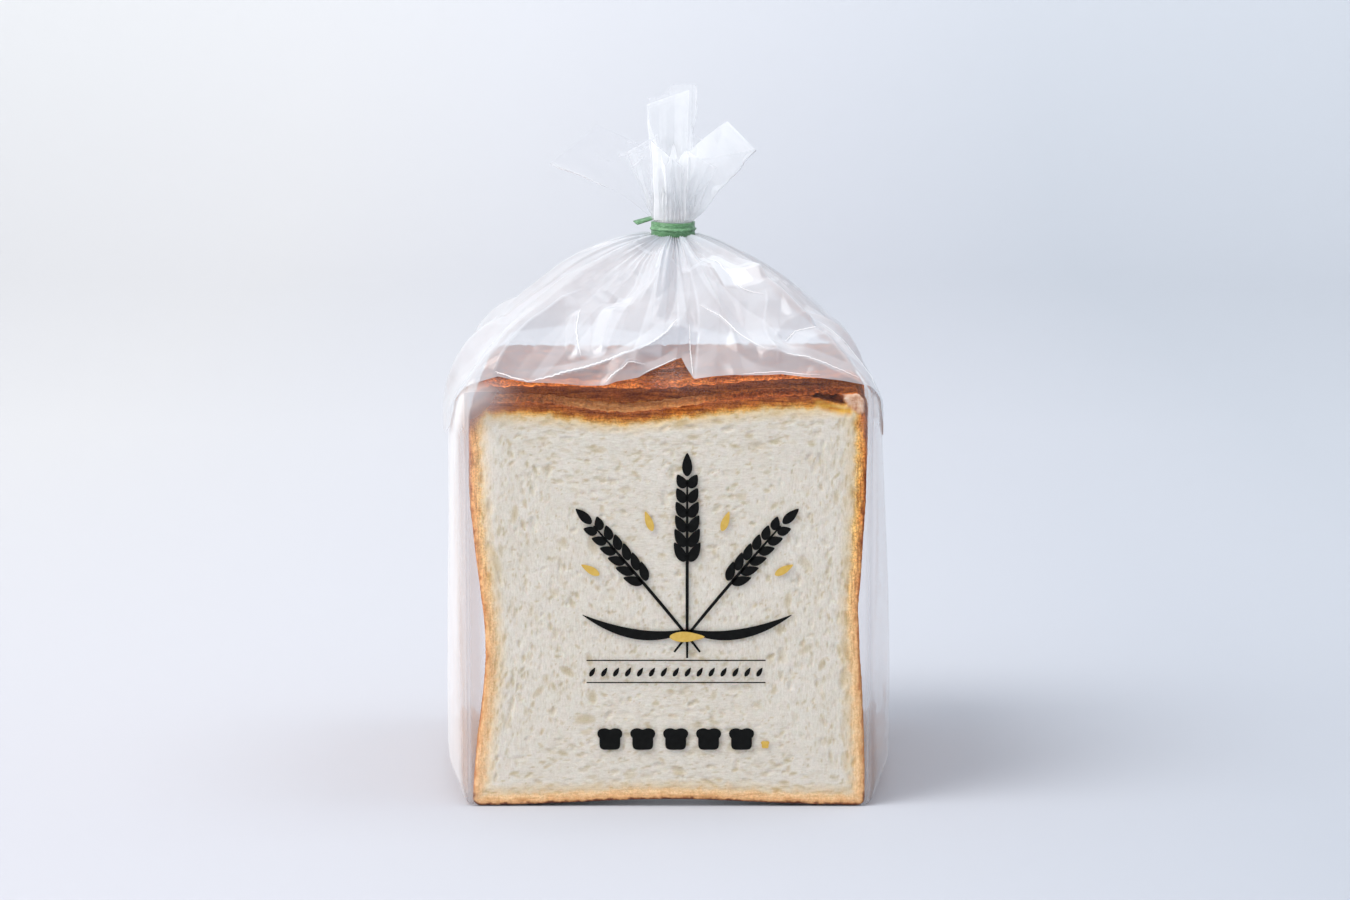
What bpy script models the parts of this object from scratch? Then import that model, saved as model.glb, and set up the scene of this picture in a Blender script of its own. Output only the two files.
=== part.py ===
"""A square sandwich loaf in a clear gusseted bag, gathered at the top and closed with a twist tie.

The filled bag is one closed solid out to its film: a flat base, a flat front where the film lies on the
loaf, sides that stand off the crust, a tent of folds up to the gathered neck, and the flared mouth above it.
The twist tie is the second solid, wrapped round the neck with its ends twisted behind.
+Z is up, the sliced face looks along -Y, and the origin is under the middle of the bag.
"""

import math

import bmesh
import bpy
from mathutils import Vector

# The loaf: one square sandwich loaf, whose size sets the bag's
LOAF_WIDTH = 0.118
LOAF_DEPTH = 0.130
LOAF_HEIGHT = 0.1245

# The bag round the loaf
FILM_SLACK = 0.001
SIDE_BULGE = 0.009
SHOULDER_FULLNESS = 0.84
FULL_FROM = 0.009
BULGE_ROUNDNESS = 0.6
BULGE_FROM = 0.8
BASE_EDGE = 0.0018
BASE_INSET = 0.0012
BODY_RINGS = (0.09, 0.16, 0.26, 0.40, 0.55, 0.70, 0.84, 0.94)
CORNER_SHARPNESS = 60

# The tent, from the shoulders to the neck: over the front and back slices the film lies on the top crust,
# and at the sides it folds in lower down
SIDE_FOLD_DROP = 0.0105
SHOULDER_HEIGHT = LOAF_HEIGHT - SIDE_FOLD_DROP
FOLD_SHARPNESS = 4
TENT_PLEATS = 14
TENT_PLEAT_DEPTH = 0.0085
SWELL_OUT = 0.7
SWELL_UP = 0.7
LEFT_ROUNDNESS = 1.5
RIGHT_ROUNDNESS = 1.32
FRONT_ROUNDNESS = 1.2
EAR_HALF_ANGLE = math.radians(13)
EAR_LENGTH = 0.17

# The neck under the tie
NECK_X = 0.0013
NECK_RADIUS = 0.0060
TIE_BOTTOM = 0.1653
TIE_HEIGHT = 0.0046
TIE_TOP = TIE_BOTTOM + TIE_HEIGHT

# The flared mouth above the tie
MOUTH_CORE_RADIUS = 0.0036
VALLEY_RISE = 0.0190

# The twist tie
TIE_GAP = 0.0003
TIE_THICKNESS = 0.0005
TIE_RIB = 0.0004
TIE_RIB_HALF_WIDTH = 0.0005
TIE_TRIM = 0.0001
TWIST_HALF_WIDTH = 0.0021
TWIST_HALF_THICKNESS = 0.0007

# How finely the forms are divided
ROUND_STEPS = 96
TENT_STEPS = 15
MOUTH_STEPS = 8
TIE_STEPS = 48

HALF_WIDTH = LOAF_WIDTH / 2 + FILM_SLACK
HALF_DEPTH = LOAF_DEPTH / 2 + FILM_SLACK

# Ears of the gusset, and the pinch where the film dips onto the crust in front (negative):
# azimuth, how far they stand out, and where between neck (0) and shoulder (1)
EARS = (
    (math.radians(206), 0.0050, 0.88),
    (math.radians(-28), 0.0055, 0.76),
    (math.radians(152), 0.0040, 0.84),
    (math.radians(30), 0.0040, 0.78),
    (math.radians(-86), -0.0040, 0.86),
)

# Flaps of the mouth: azimuth, half angle, reach, rise at the fold, rise of the sheet beside it, curl
FLAPS = (
    (math.radians(-8), math.radians(26), 0.0225, 0.0220, 0.0310, 1.0),
    (math.radians(188), math.radians(28), 0.0345, 0.0185, 0.0300, 1.35),
    (math.radians(256), math.radians(36), 0.0060, 0.0180, 0.0245, 0.8),
    (math.radians(312), math.radians(17), 0.0040, 0.0200, 0.0220, 0.8),
)
SHEET_AT = 0.36

# The upright panel at the back of the mouth: a flat stretch of film between two folds
PANEL_SET_BACK = 0.0052
PANEL_RISE = 0.0420
PANEL_FROM = math.radians(36)
PANEL_TO = math.radians(146)
PANEL_EDGE = math.radians(9)


def new_collection(name):
    collection = bpy.data.collections.new(name)
    bpy.context.scene.collection.children.link(collection)
    return collection


def material(name, colour, roughness, metallic=0.0):
    made = bpy.data.materials.new(name)
    made.use_nodes = True
    shader = made.node_tree.nodes["Principled BSDF"]
    shader.inputs["Base Color"].default_value = (*colour, 1.0)
    shader.inputs["Roughness"].default_value = roughness
    shader.inputs["Metallic"].default_value = metallic
    return made


def turned_from(angle, centre):
    """The angle between two azimuths, from -pi to pi."""
    return (angle - centre + math.pi) % math.tau - math.pi


def azimuths():
    """Directions whose rays meet the loaf's rectangle at even steps, with one through each corner."""
    found = []
    per_side = ROUND_STEPS // 4
    for side in range(4):
        for step in range(per_side):
            along = 2 * step / per_side - 1
            across = ((1, along), (-along, 1), (-1, -along), (along, -1))[side]
            found.append(math.atan2(across[1] * HALF_DEPTH, across[0] * HALF_WIDTH))
    return found


def loaf_reach(azimuth):
    """How far the film round the loaf lies from the middle: a rectangle with softened corners."""
    across = abs(math.cos(azimuth)) / HALF_WIDTH
    along = abs(math.sin(azimuth)) / HALF_DEPTH
    return (across**CORNER_SHARPNESS + along**CORNER_SHARPNESS) ** (-1 / CORNER_SHARPNESS)


def body_point(azimuth, height):
    """A point of the lower bag, whose sides stand off the crust between the front and back faces."""
    reach = loaf_reach(azimuth)
    x = reach * math.cos(azimuth)
    y = reach * math.sin(azimuth)
    up = height / SHOULDER_HEIGHT
    fullness = math.sqrt(min(1.0, height / FULL_FROM)) * (1 - (1 - SHOULDER_FULLNESS) * up**3)
    standoff = SIDE_BULGE * fullness * max(0.0, 1 - (y / HALF_DEPTH) ** 2) ** BULGE_ROUNDNESS
    inset = BASE_INSET * (1 - min(1.0, height / BASE_EDGE)) ** 2
    x += math.copysign(standoff, x) * min(1.0, abs(x) / (BULGE_FROM * HALF_WIDTH)) ** 3
    shrink = 1 - inset / reach
    return Vector((x * shrink, y * shrink, height))


def pleat(azimuth):
    """The tent's folds: sharp crests and rounded valleys at uneven spacing, from -0.5 to 0.5."""
    phase = TENT_PLEATS * azimuth / 2 + 0.9 * math.sin(2 * azimuth + 0.6) + 0.5 * math.sin(5 * azimuth)
    return 0.5 - abs(math.sin(phase))


def ear(azimuth, out):
    """How far the gusset's ears stand out at this place of the tent."""
    total = 0.0
    for centre, height, place in EARS:
        across = abs(turned_from(azimuth, centre)) / EAR_HALF_ANGLE
        along = abs(out - place) / EAR_LENGTH
        total += height * max(0.0, 1 - across) * max(0.0, 1 - along**2)
    return total


def tent_point(azimuth, out):
    """A point of the tent: out runs from 1 at the shoulder to 0 at the neck."""
    sideways = math.cos(azimuth) ** 2
    side_roundness = RIGHT_ROUNDNESS if math.cos(azimuth) > 0 else LEFT_ROUNDNESS
    roundness = FRONT_ROUNDNESS + (side_roundness - FRONT_ROUNDNESS) * sideways
    edge = body_point(azimuth, SHOULDER_HEIGHT)
    foot = SHOULDER_HEIGHT + SIDE_FOLD_DROP * min(1.0, abs(edge.y) / HALF_DEPTH) ** FOLD_SHARPNESS
    x = out * edge.x + (1 - out) * (NECK_X + NECK_RADIUS * math.cos(azimuth))
    y = out * edge.y + (1 - out) * NECK_RADIUS * math.sin(azimuth)
    rise = (1 - out**roundness) ** (1 / roundness)
    depth = TENT_PLEAT_DEPTH * math.sqrt(out) * (1 - out) * pleat(azimuth)
    swell = depth + ear(azimuth, out)
    # The swell goes up as much as out, square to the slope
    x += SWELL_OUT * swell * math.cos(azimuth)
    y += SWELL_OUT * swell * math.sin(azimuth)
    return Vector((x, y, foot + (TIE_BOTTOM - foot) * rise + SWELL_UP * swell))


def neck_point(azimuth, height):
    x = NECK_X + NECK_RADIUS * math.cos(azimuth)
    return Vector((x, NECK_RADIUS * math.sin(azimuth), height))


def mouth_point(azimuth, up):
    """A point of the flared mouth: up runs from 0 at the tie to 1 at the cut edge."""
    core = NECK_RADIUS + (MOUTH_CORE_RADIUS - NECK_RADIUS) * up
    reach = core
    rise = VALLEY_RISE
    for centre, half_angle, flap_reach, fold_rise, sheet_rise, curl in FLAPS:
        away = abs(turned_from(azimuth, centre)) / half_angle
        if away >= 1:
            continue
        reach = core + flap_reach * (1 - away) ** 1.2 * up**curl
        if away < SHEET_AT:
            rise = fold_rise + (sheet_rise - fold_rise) * away / SHEET_AT
        else:
            rise = sheet_rise + (VALLEY_RISE - sheet_rise) * (away - SHEET_AT) / (1 - SHEET_AT)
    inside = min(azimuth - PANEL_FROM, PANEL_TO - azimuth)
    if inside > -PANEL_EDGE:
        share = min(1.0, 1 + inside / PANEL_EDGE)
        reach += (PANEL_SET_BACK / math.sin(azimuth) - core) * share * up**0.5
        rise += (PANEL_RISE - VALLEY_RISE) * share
    x = NECK_X + reach * math.cos(azimuth)
    return Vector((x, reach * math.sin(azimuth), TIE_TOP + rise * up))


def add_loft(rings, looped=False):
    """A closed skin through rings of as many points each; the ends are capped unless the loft is looped."""
    built = bmesh.new()
    rows = [[built.verts.new(point) for point in ring] for ring in rings]
    count = len(rows[0])
    pairs = list(zip(rows, rows[1:]))
    if looped:
        pairs.append((rows[-1], rows[0]))
    for lower, upper in pairs:
        for i in range(count):
            j = (i + 1) % count
            built.faces.new((lower[i], lower[j], upper[j], upper[i]))
    if not looped:
        built.faces.new(rows[0][::-1])
        close_with_fan(built, rows[-1])
    bmesh.ops.recalc_face_normals(built, faces=built.faces)
    return built


def close_with_fan(built, ring):
    """Closes the last ring with a fan to its middle, so that an uneven edge stays as it is."""
    middle = sum((vertex.co for vertex in ring), Vector()) / len(ring)
    hub = built.verts.new(middle)
    for i, vertex in enumerate(ring):
        built.faces.new((vertex, ring[(i + 1) % len(ring)], hub))


def object_from(built, name, finish, collection, sharp_angle):
    mesh = bpy.data.meshes.new(name)
    built.to_mesh(mesh)
    built.free()
    mesh.shade_smooth()
    mesh.set_sharp_from_angle(angle=math.radians(sharp_angle))
    made = bpy.data.objects.new(name, mesh)
    made.data.materials.append(finish)
    collection.objects.link(made)
    return made


def make_bag(collection):
    """The filled bag: body, tent, neck and mouth are one skin from the base to the flared edge."""
    around = azimuths()
    body_heights = [0.0, BASE_EDGE / 3, BASE_EDGE]
    body_heights += [SHOULDER_HEIGHT * part for part in BODY_RINGS]
    rings = [[body_point(azimuth, height) for azimuth in around] for height in body_heights]
    for step in range(TENT_STEPS + 1):
        out = 1 - step / TENT_STEPS
        rings.append([tent_point(azimuth, out) for azimuth in around])
    rings.append([neck_point(azimuth, TIE_TOP) for azimuth in around])
    for step in range(1, MOUTH_STEPS + 1):
        rings.append([mouth_point(azimuth, step / MOUTH_STEPS) for azimuth in around])
    film = material("clear_film", (0.86, 0.84, 0.80), 0.25)
    return object_from(add_loft(rings), "bread_bag", film, collection, 35)


def band_section(azimuth):
    """The tie's section at one azimuth: a flat paper strip with the wire's rib along its middle."""
    inner = NECK_RADIUS + TIE_GAP
    outer = inner + TIE_THICKNESS
    low = TIE_BOTTOM + TIE_TRIM
    high = TIE_TOP - TIE_TRIM
    middle = (low + high) / 2
    outline = (
        (inner, low),
        (outer, low),
        (outer, middle - TIE_RIB_HALF_WIDTH),
        (outer + TIE_RIB, middle),
        (outer, middle + TIE_RIB_HALF_WIDTH),
        (outer, high),
        (inner, high),
    )
    points = []
    for radius, height in outline:
        x = NECK_X + radius * math.cos(azimuth)
        points.append(Vector((x, radius * math.sin(azimuth), height)))
    return points


def strip_rings(start, end, half_width, half_thickness, first_turn, last_turn, steps):
    """Rings of a flat strip from start to end, turned about its own line on the way."""
    line = (end - start).normalized()
    side = line.cross(Vector((0, 0, 1))).normalized()
    lift = side.cross(line)
    rings = []
    for step in range(steps + 1):
        part = step / steps
        turn = first_turn + (last_turn - first_turn) * part
        across = (side * math.cos(turn) + lift * math.sin(turn)) * half_width
        thick = (lift * math.cos(turn) - side * math.sin(turn)) * half_thickness
        centre = start.lerp(end, part)
        upper = centre + thick
        lower = centre - thick
        rings.append([upper + across, upper - across, lower - across, lower + across])
    return rings


def make_tie(collection, helpers):
    """The twist tie: a band round the neck, its two ends twisted together behind it and cut short."""
    paper = material("tie_paper", (0.27, 0.50, 0.29), 0.55)
    sections = [band_section(math.tau * step / TIE_STEPS) for step in range(TIE_STEPS)]
    band = object_from(add_loft(sections, looped=True), "twist_tie", paper, collection, 30)

    height = (TIE_BOTTOM + TIE_TOP) / 2 + 0.0004
    root = Vector((NECK_X - 0.0048, 0.0051, height))
    crossing = Vector((NECK_X - 0.0078, 0.0085, height + 0.0004))
    left_tip = Vector((NECK_X - 0.0118, 0.0076, height - 0.0006))
    back_tip = Vector((NECK_X - 0.0062, 0.0140, height + 0.0012))
    twist = (TWIST_HALF_WIDTH, TWIST_HALF_THICKNESS)
    flat = (TWIST_HALF_WIDTH, TIE_THICKNESS / 2)
    ends = {
        "tie_twist": strip_rings(root, crossing, *twist, math.pi / 2, math.tau, 10),
        "tie_left_end": strip_rings(crossing, left_tip, *flat, 0.15, 0.35, 4),
        "tie_back_end": strip_rings(crossing, back_tip, *flat, 0.0, 0.6, 4),
    }
    for name, rings in ends.items():
        end = object_from(add_loft(rings), name, paper, helpers, 30)
        end.hide_render = True
        end.display_type = "WIRE"
        joined = band.modifiers.new(name, "BOOLEAN")
        joined.operation = "UNION"
        joined.object = end
    return band


for old in list(bpy.data.objects):
    bpy.data.objects.remove(old, do_unlink=True)

pack_parts = new_collection("sandwich_bread")
joined_shapes = new_collection("joined_shapes")
make_bag(pack_parts)
make_tie(pack_parts, joined_shapes)
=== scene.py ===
import math

import bpy
import numpy as np
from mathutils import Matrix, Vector, kdtree, noise


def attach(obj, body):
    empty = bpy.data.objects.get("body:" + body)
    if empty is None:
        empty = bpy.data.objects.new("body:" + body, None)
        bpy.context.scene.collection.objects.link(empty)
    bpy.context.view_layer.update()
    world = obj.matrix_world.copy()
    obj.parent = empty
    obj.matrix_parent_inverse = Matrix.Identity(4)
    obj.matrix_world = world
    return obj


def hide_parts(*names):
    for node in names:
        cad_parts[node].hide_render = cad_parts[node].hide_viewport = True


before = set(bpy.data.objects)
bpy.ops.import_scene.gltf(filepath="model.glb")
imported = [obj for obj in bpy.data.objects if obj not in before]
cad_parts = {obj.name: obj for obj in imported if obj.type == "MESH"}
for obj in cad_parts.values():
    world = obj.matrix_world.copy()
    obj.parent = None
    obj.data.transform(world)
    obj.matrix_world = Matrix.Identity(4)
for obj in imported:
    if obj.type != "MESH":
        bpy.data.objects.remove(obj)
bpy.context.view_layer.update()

# The studio: a pale paper bowl whose floor runs up into its wall without an edge. A soft key light from the
# upper left throws a short shadow to the right, and two softboxes are what the folds of the film mirror.
# The camera stands where the photographer's stood, a little above the bag's neck, with a long lens.
VIEW_LENS = 98.2
VIEW_FROM = (0.0019, -1.141, 0.254)
VIEW_PITCH = math.radians(7.77)
KEY_STRENGTH = 1.56
KEY_SOFTNESS = math.radians(31)
KEY_WAY = (0.5, 0.3, -0.82)
LAMPS_AIM_AT = (0, 0, 0.09)
AIR_STRENGTH = 1.105
PAPER_FLOOR = 1.7
PAPER_BEND = 0.9
PAPER_TOP = 1.9
PAPER_GAP = 0.0001
BEND_STEPS = 24
AROUND = 96

view = bpy.data.objects.new("view", bpy.data.cameras.new("view"))
view.data.lens = VIEW_LENS
view.data.sensor_width = 36.0
view.data.clip_start = 0.01
view.location = VIEW_FROM
view.rotation_euler = (math.pi / 2 - VIEW_PITCH, 0, 0)
bpy.context.scene.collection.objects.link(view)
bpy.context.scene.camera = view
bpy.context.scene.view_settings.view_transform = "Standard"
bpy.context.scene.cycles.transparent_max_bounces = 64
bpy.context.scene.cycles.max_bounces = 12


def new_finish(name):
    """An empty node material, and a function that adds a node to it with its settings and incoming links."""
    finish = bpy.data.materials.new(name)
    finish.use_nodes = True
    tree = finish.node_tree
    tree.nodes.clear()
    tree.nodes.new("ShaderNodeOutputMaterial")

    def add(kind, links=None, **settings):
        node = tree.nodes.new("ShaderNode" + kind)
        for key, value in settings.items():
            if key in node.inputs:
                node.inputs[key].default_value = value
            elif key.replace("_", " ") in node.inputs:
                node.inputs[key.replace("_", " ")].default_value = value
            else:
                setattr(node, key, value)
        for socket, source in (links or {}).items():
            tree.links.new(source, node.inputs[socket])
        return node

    return finish, add


def surface(finish, shader):
    output = finish.node_tree.nodes["Material Output"]
    finish.node_tree.links.new(shader.outputs[0], output.inputs["Surface"])
    return finish


def coat(finish, add, colour, relief, roughness, **settings):
    """The finish's own skin; its roughness is one number, or differs from place to place."""
    links = {"Base Color": colour, "Normal": relief}
    if isinstance(roughness, float):
        settings["Roughness"] = roughness
    else:
        links["Roughness"] = roughness
    return surface(finish, add("BsdfPrincipled", links, **settings))


def bumped(add, height, strength, distance):
    return add("Bump", {"Height": height}, Strength=strength, Distance=distance).outputs["Normal"]


def ramp(add, value, *stops):
    """Colours over a value from 0 to 1; each stop is its place and a colour or a grey."""
    node = add("ValToRGB", {"Fac": value})
    elements = node.color_ramp.elements
    while len(elements) > 1:
        elements.remove(elements[-1])
    for i, (place, colour) in enumerate(stops):
        stop = elements[0] if i == 0 else elements.new(place)
        stop.position = place
        grey = not isinstance(colour, tuple)
        stop.color = (colour, colour, colour, 1) if grey else (*colour, 1)
    return node.outputs["Color"]


def spread(add, value, low, high, to_low=0.0, to_high=1.0):
    """The value moved from the range low..high to the range to_low..to_high."""
    node = add("MapRange", {"Value": value})
    node.inputs["From Min"].default_value = low
    node.inputs["From Max"].default_value = high
    node.inputs["To Min"].default_value = to_low
    node.inputs["To Max"].default_value = to_high
    return node.outputs["Result"]


def blend_colours(add, share, first, second):
    return add("Mix", {0: share, 6: first, 7: second}, data_type="RGBA").outputs[2]


def mesh_piece(name, points, faces, finishes, attributes=None):
    """A smooth-shaded mesh object; attributes are named values for its points."""
    mesh = bpy.data.meshes.new(name)
    mesh.from_pydata(np.asarray(points).tolist(), [], [tuple(face) for face in faces])
    mesh.update()
    for label, values in (attributes or {}).items():
        made = mesh.attributes.new(label, "FLOAT", "POINT")
        made.data.foreach_set("value", np.asarray(values, np.float32).ravel())
    mesh.shade_smooth()
    for finish in finishes:
        mesh.materials.append(finish)
    piece = bpy.data.objects.new(name, mesh)
    bpy.context.scene.collection.objects.link(piece)
    return piece


paper, add = new_finish("studio_paper")
spot = add("SeparateXYZ", {"Vector": add("TexCoord").outputs["Object"]})
beside = spread(add, spot.outputs["X"], -0.4, 0.4)
# The paper's colour carries painted light: it is lighter at the left than at the right, as the key light
# falls from the left, and lighter on the far floor and the wall than on the near floor, to even out how they
# are lit
near_floor_painted_light = ramp(add, beside, (0.26, (0.507, 0.508, 0.546)), (0.5, (0.484, 0.493, 0.537)),
                  (0.74, (0.405, 0.429, 0.477)))
far_floor_painted_light = ramp(add, beside, (0.1, (0.594, 0.589, 0.599)), (0.32, (0.565, 0.568, 0.597)),
                 (0.68, (0.491, 0.506, 0.551)), (0.9, (0.444, 0.471, 0.517)))
floor = blend_colours(add, spread(add, spot.outputs["Y"], -0.1, 0.8), near_floor_painted_light, far_floor_painted_light)
wall = ramp(add, spread(add, spot.outputs["X"], -0.9, 0.9), (0.155, (0.903, 0.908, 0.9)),
            (0.453, (0.778, 0.788, 0.823)), (0.844, (0.592, 0.624, 0.672)))
tone = blend_colours(add, spread(add, spot.outputs["Z"], 0.0, 0.5), floor, wall)
fibre = add("TexNoise", Scale=900.0, Detail=2.0).outputs["Fac"]
coat(paper, add, tone, bumped(add, fibre, 0.05, 0.0005), 0.95)

bowl_rings = [(0.25, 0.0), (0.8, 0.0), (PAPER_FLOOR, 0.0)]
for step in range(1, BEND_STEPS + 1):
    turn = math.pi / 2 * step / BEND_STEPS
    bowl_rings.append((PAPER_FLOOR + PAPER_BEND * math.sin(turn), PAPER_BEND * (1 - math.cos(turn))))
bowl_rings.append((PAPER_FLOOR + PAPER_BEND, PAPER_TOP))
bowl_points = [(0, 0, -PAPER_GAP)]
for radius, height in bowl_rings:
    for i in range(AROUND):
        turn = math.tau * i / AROUND
        bowl_points.append((radius * math.cos(turn), radius * math.sin(turn), height - PAPER_GAP))
bowl_faces = [(0, 1 + i, 1 + (i + 1) % AROUND) for i in range(AROUND)]
for ring in range(len(bowl_rings) - 1):
    low = 1 + ring * AROUND
    for i in range(AROUND):
        j = (i + 1) % AROUND
        bowl_faces.append((low + i, low + AROUND + i, low + AROUND + j, low + j))
mesh_piece("studio_bowl", bowl_points, bowl_faces, [paper])


def softbox(name, place, width, height, power, colour):
    """A rectangular lamp that points at the loaf and isn't seen itself."""
    lamp = bpy.data.lights.new(name, "AREA")
    lamp.shape = "RECTANGLE"
    lamp.size = width
    lamp.size_y = height
    lamp.energy = power
    lamp.color = colour
    box = bpy.data.objects.new(name, lamp)
    box.location = place
    box.rotation_euler = (Vector(LAMPS_AIM_AT) - Vector(place)).to_track_quat("-Z", "Y").to_euler()
    box.visible_camera = False
    bpy.context.scene.collection.objects.link(box)


key = bpy.data.objects.new("key", bpy.data.lights.new("key", "SUN"))
key.data.energy = KEY_STRENGTH
key.data.angle = KEY_SOFTNESS
key.data.color = (1.0, 0.985, 0.96)
key.rotation_euler = Vector(KEY_WAY).to_track_quat("-Z", "Y").to_euler()
bpy.context.scene.collection.objects.link(key)
softbox("top_box", (0.45, 0.05, 1.1), 0.5, 0.5, 2.1, (0.97, 0.985, 1.0))
softbox("left_box", (-1.0, -0.55, 0.75), 1.1, 1.1, 6.5, (1.0, 0.99, 0.98))

air = bpy.data.worlds.new("studio_air")
air.use_nodes = True
glow = air.node_tree.nodes["Background"]
glow.inputs["Color"].default_value = (0.915, 0.95, 1.0, 1)
glow.inputs["Strength"].default_value = AIR_STRENGTH
bpy.context.scene.world = air


# The bread: a square tinned loaf cut in six, which stands on its base with a cut face to the front. Off-white
# crumb, whose pores run along the crust near it, in a thin crust, golden at the sides and brown on top.
# The front slice has sunk left of its middle, and its top crust has come away at the right corner.
LOAF_FRONT = -0.0654
SLICES = 6
SLICE_PITCH = 0.0216
SLICE_GAP = 0.0006
HALF_WIDTH = 0.0586
# Waists: depth, height and half width; tops: height at the middle and slope towards the right
LEFT_WAIST = (0.0046, 0.047, 0.03)
RIGHT_WAIST = (0.0021, 0.056, 0.03)
RIGHT_DENT = (0.0004, 0.06, 0.005)
LEFT_PROUD = 0.0003
CORNER = 0.005
LOW_CORNER = 0.0022
TORN = 0.0006
BASE_CLEAR = 0.00015
BASE_ARCH = 0.0019
ARCH_WIDTH = 0.034
FRONT_TOP = (0.1226, 0.026)
SAG = 0.0037
SAG_AT = -0.013
SAG_WIDTHS = (0.017, 0.027)
BACK_TOP = (0.1247, 0.032)
BACK_SAG = 0.0022
BACK_SAG_WIDTH = 0.024
BACK_LIFT = 0.0005
# The loosened corner: the hollow's top and foot at places across it, then the curl's edge, foot and end
LOOSE_X = (0.0385, 0.042, 0.046, 0.049, 0.052)
LOOSE_TOP = (0.1236, 0.124, 0.1243, 0.124, 0.1226)
LOOSE_FOOT = (0.1235, 0.1231, 0.122, 0.1211, 0.1204)
CURL_EDGE = 0.0512
CURL_FOOT = 0.1178
CURL_END = 0.0578
SLOPE_FROM = 0.042
SLOPE_TO = 0.0545
SLOPE_HALF = 0.0016
RAGGED = 0.00035
HOLLOW_DEPTH = 0.0032
CURL_PROUD = 0.00025
SLOPE_DEPTH = 0.0004
# Pores: how many, where the crust keeps them out, their sizes and depth
PORE_SHARE = 0.105
PORE_CELL = 0.0006
PORE_FREE = 0.003
RIM_PULL = 0.018
PORE_SIZE = 0.00036
LARGE_PORES = 0.011
LARGE_PORE_SIZE = 0.001
PORE_DEPTH = 0.00045
# The cut's own unevenness: waves, the crust dragged proud, and the groove inside it
CUT_WAVE = 0.00006
DRAGGED = 0.00022
GROOVE = 0.00012
# The crust: wrinkles, blisters, how far it stands out, its least height over the floor, and how far outside
# the cut face's rim it counts as lying for its colour
WRINKLE = 0.0005
BLISTER = 0.00016
CRUST_PROUD = 0.00025
CRUST_CLEAR = 0.00012
CRUST_SKIN = -0.0004
# Each slice's columns and rows, rings of its crust, and which of its cut faces has pores
FRONT_MESH = (256, 270, 40, (0,))
BACK_MESH = (180, 190, 16, (1,))
INNER_MESH = (110, 100, 36, ())
MM = 0.001

rng = np.random.default_rng(4)


def limited(value):
    """The value kept between 0 and 1."""
    return np.clip(value, 0, 1)


def hump(place, middle, width):
    return np.exp(-(((place - middle) / width) ** 2))


def left_edge(z):
    depth, middle, width = LEFT_WAIST
    return -HALF_WIDTH - LEFT_PROUD + depth * hump(z, middle, width)


def right_edge(z):
    depth, middle, width = RIGHT_WAIST
    dent, dent_at, dent_width = RIGHT_DENT
    return HALF_WIDTH - depth * hump(z, middle, width) - dent * hump(z, dent_at, dent_width)


def slice_top(x, number):
    """Height of a slice's top crust: the first has sunk most, and the back ones are nearly level."""
    if number == 0:
        return FRONT_TOP[0] + FRONT_TOP[1] * x - SAG * hump(x, SAG_AT, np.where(x < SAG_AT, *SAG_WIDTHS))
    level = 1 - number / SLICES
    lift = BACK_LIFT * math.sin(2.6 * number)
    sunk = BACK_SAG * level * hump(x, -0.004 * number, BACK_SAG_WIDTH)
    return BACK_TOP[0] + lift * level + BACK_TOP[1] * level * x - sunk


def slice_base(x):
    return BASE_CLEAR + BASE_ARCH * hump(x, 0.0, ARCH_WIDTH)


def as_points(x, y, z):
    """Rows of places; each of the three is a grid of numbers, or one number for all."""
    return np.stack(np.broadcast_arrays(x, y, z), -1).reshape(-1, 3)


def grid_faces(shape, start=0):
    """Four-cornered faces between the rows and columns of a grid of points."""
    ids = np.arange(shape[0] * shape[1]).reshape(shape) + start
    return np.stack([ids[:-1, :-1], ids[:-1, 1:], ids[1:, 1:], ids[1:, :-1]], -1).reshape(-1, 4)


def search_tree(points):
    tree = kdtree.KDTree(len(points))
    for i, point in enumerate(points):
        tree.insert(point, i)
    tree.balance()
    return tree


def slice_face(number, columns, rows):
    """Points (x, z) of a slice's cut face, on a grid that fills its outline and its rounded corners."""
    s, t = np.meshgrid(np.linspace(-1, 1, columns + 1), np.linspace(-1, 1, rows + 1))
    reach = np.maximum(np.maximum(abs(s), abs(t)), 1e-6)
    side, rise = abs(s) / reach, abs(t) / reach
    rounding = np.where(t < 0, LOW_CORNER, CORNER) / HALF_WIDTH
    past_side = np.maximum(side - (1 - rounding), 0)
    past_rise = np.maximum(rise - (1 - rounding), 0)
    past = np.hypot(past_side, past_rise)
    pull = np.where(past > rounding, (past - rounding) / np.maximum(past, 1e-9), 0)
    weight = reach**7
    s = np.sign(s) * reach * (side - past_side * pull * weight)
    t = np.sign(t) * reach * (rise - past_rise * pull * weight)
    low, high = slice_base(s * HALF_WIDTH), slice_top(s * HALF_WIDTH, number)
    torn = noise_at(as_points(s * HALF_WIDTH, 0.05 * number, 0), 420, 5, 2.0)
    high = high + TORN * torn.reshape(s.shape)
    z = low + (t + 1) / 2 * (high - low)
    left, right = left_edge(z), right_edge(z)
    return left + (s + 1) / 2 * (right - left), z


def rim_of(grid):
    """A grid's edge as one loop: along the base, up the right side, back along the top and down the left."""
    return np.concatenate([grid[0, :-1], grid[:-1, -1], grid[-1, :0:-1], grid[:0:-1, 0]])


def noise_at(points, scale, octaves, seed):
    """Smooth noise from about -1 to 1 at each of the points, always the same for the same seed."""
    shift = Vector((seed, -seed, seed / 2))
    return np.array([noise.fractal(Vector(point) * scale + shift, 0.8, 2.1, octaves) for point in points])


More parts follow.
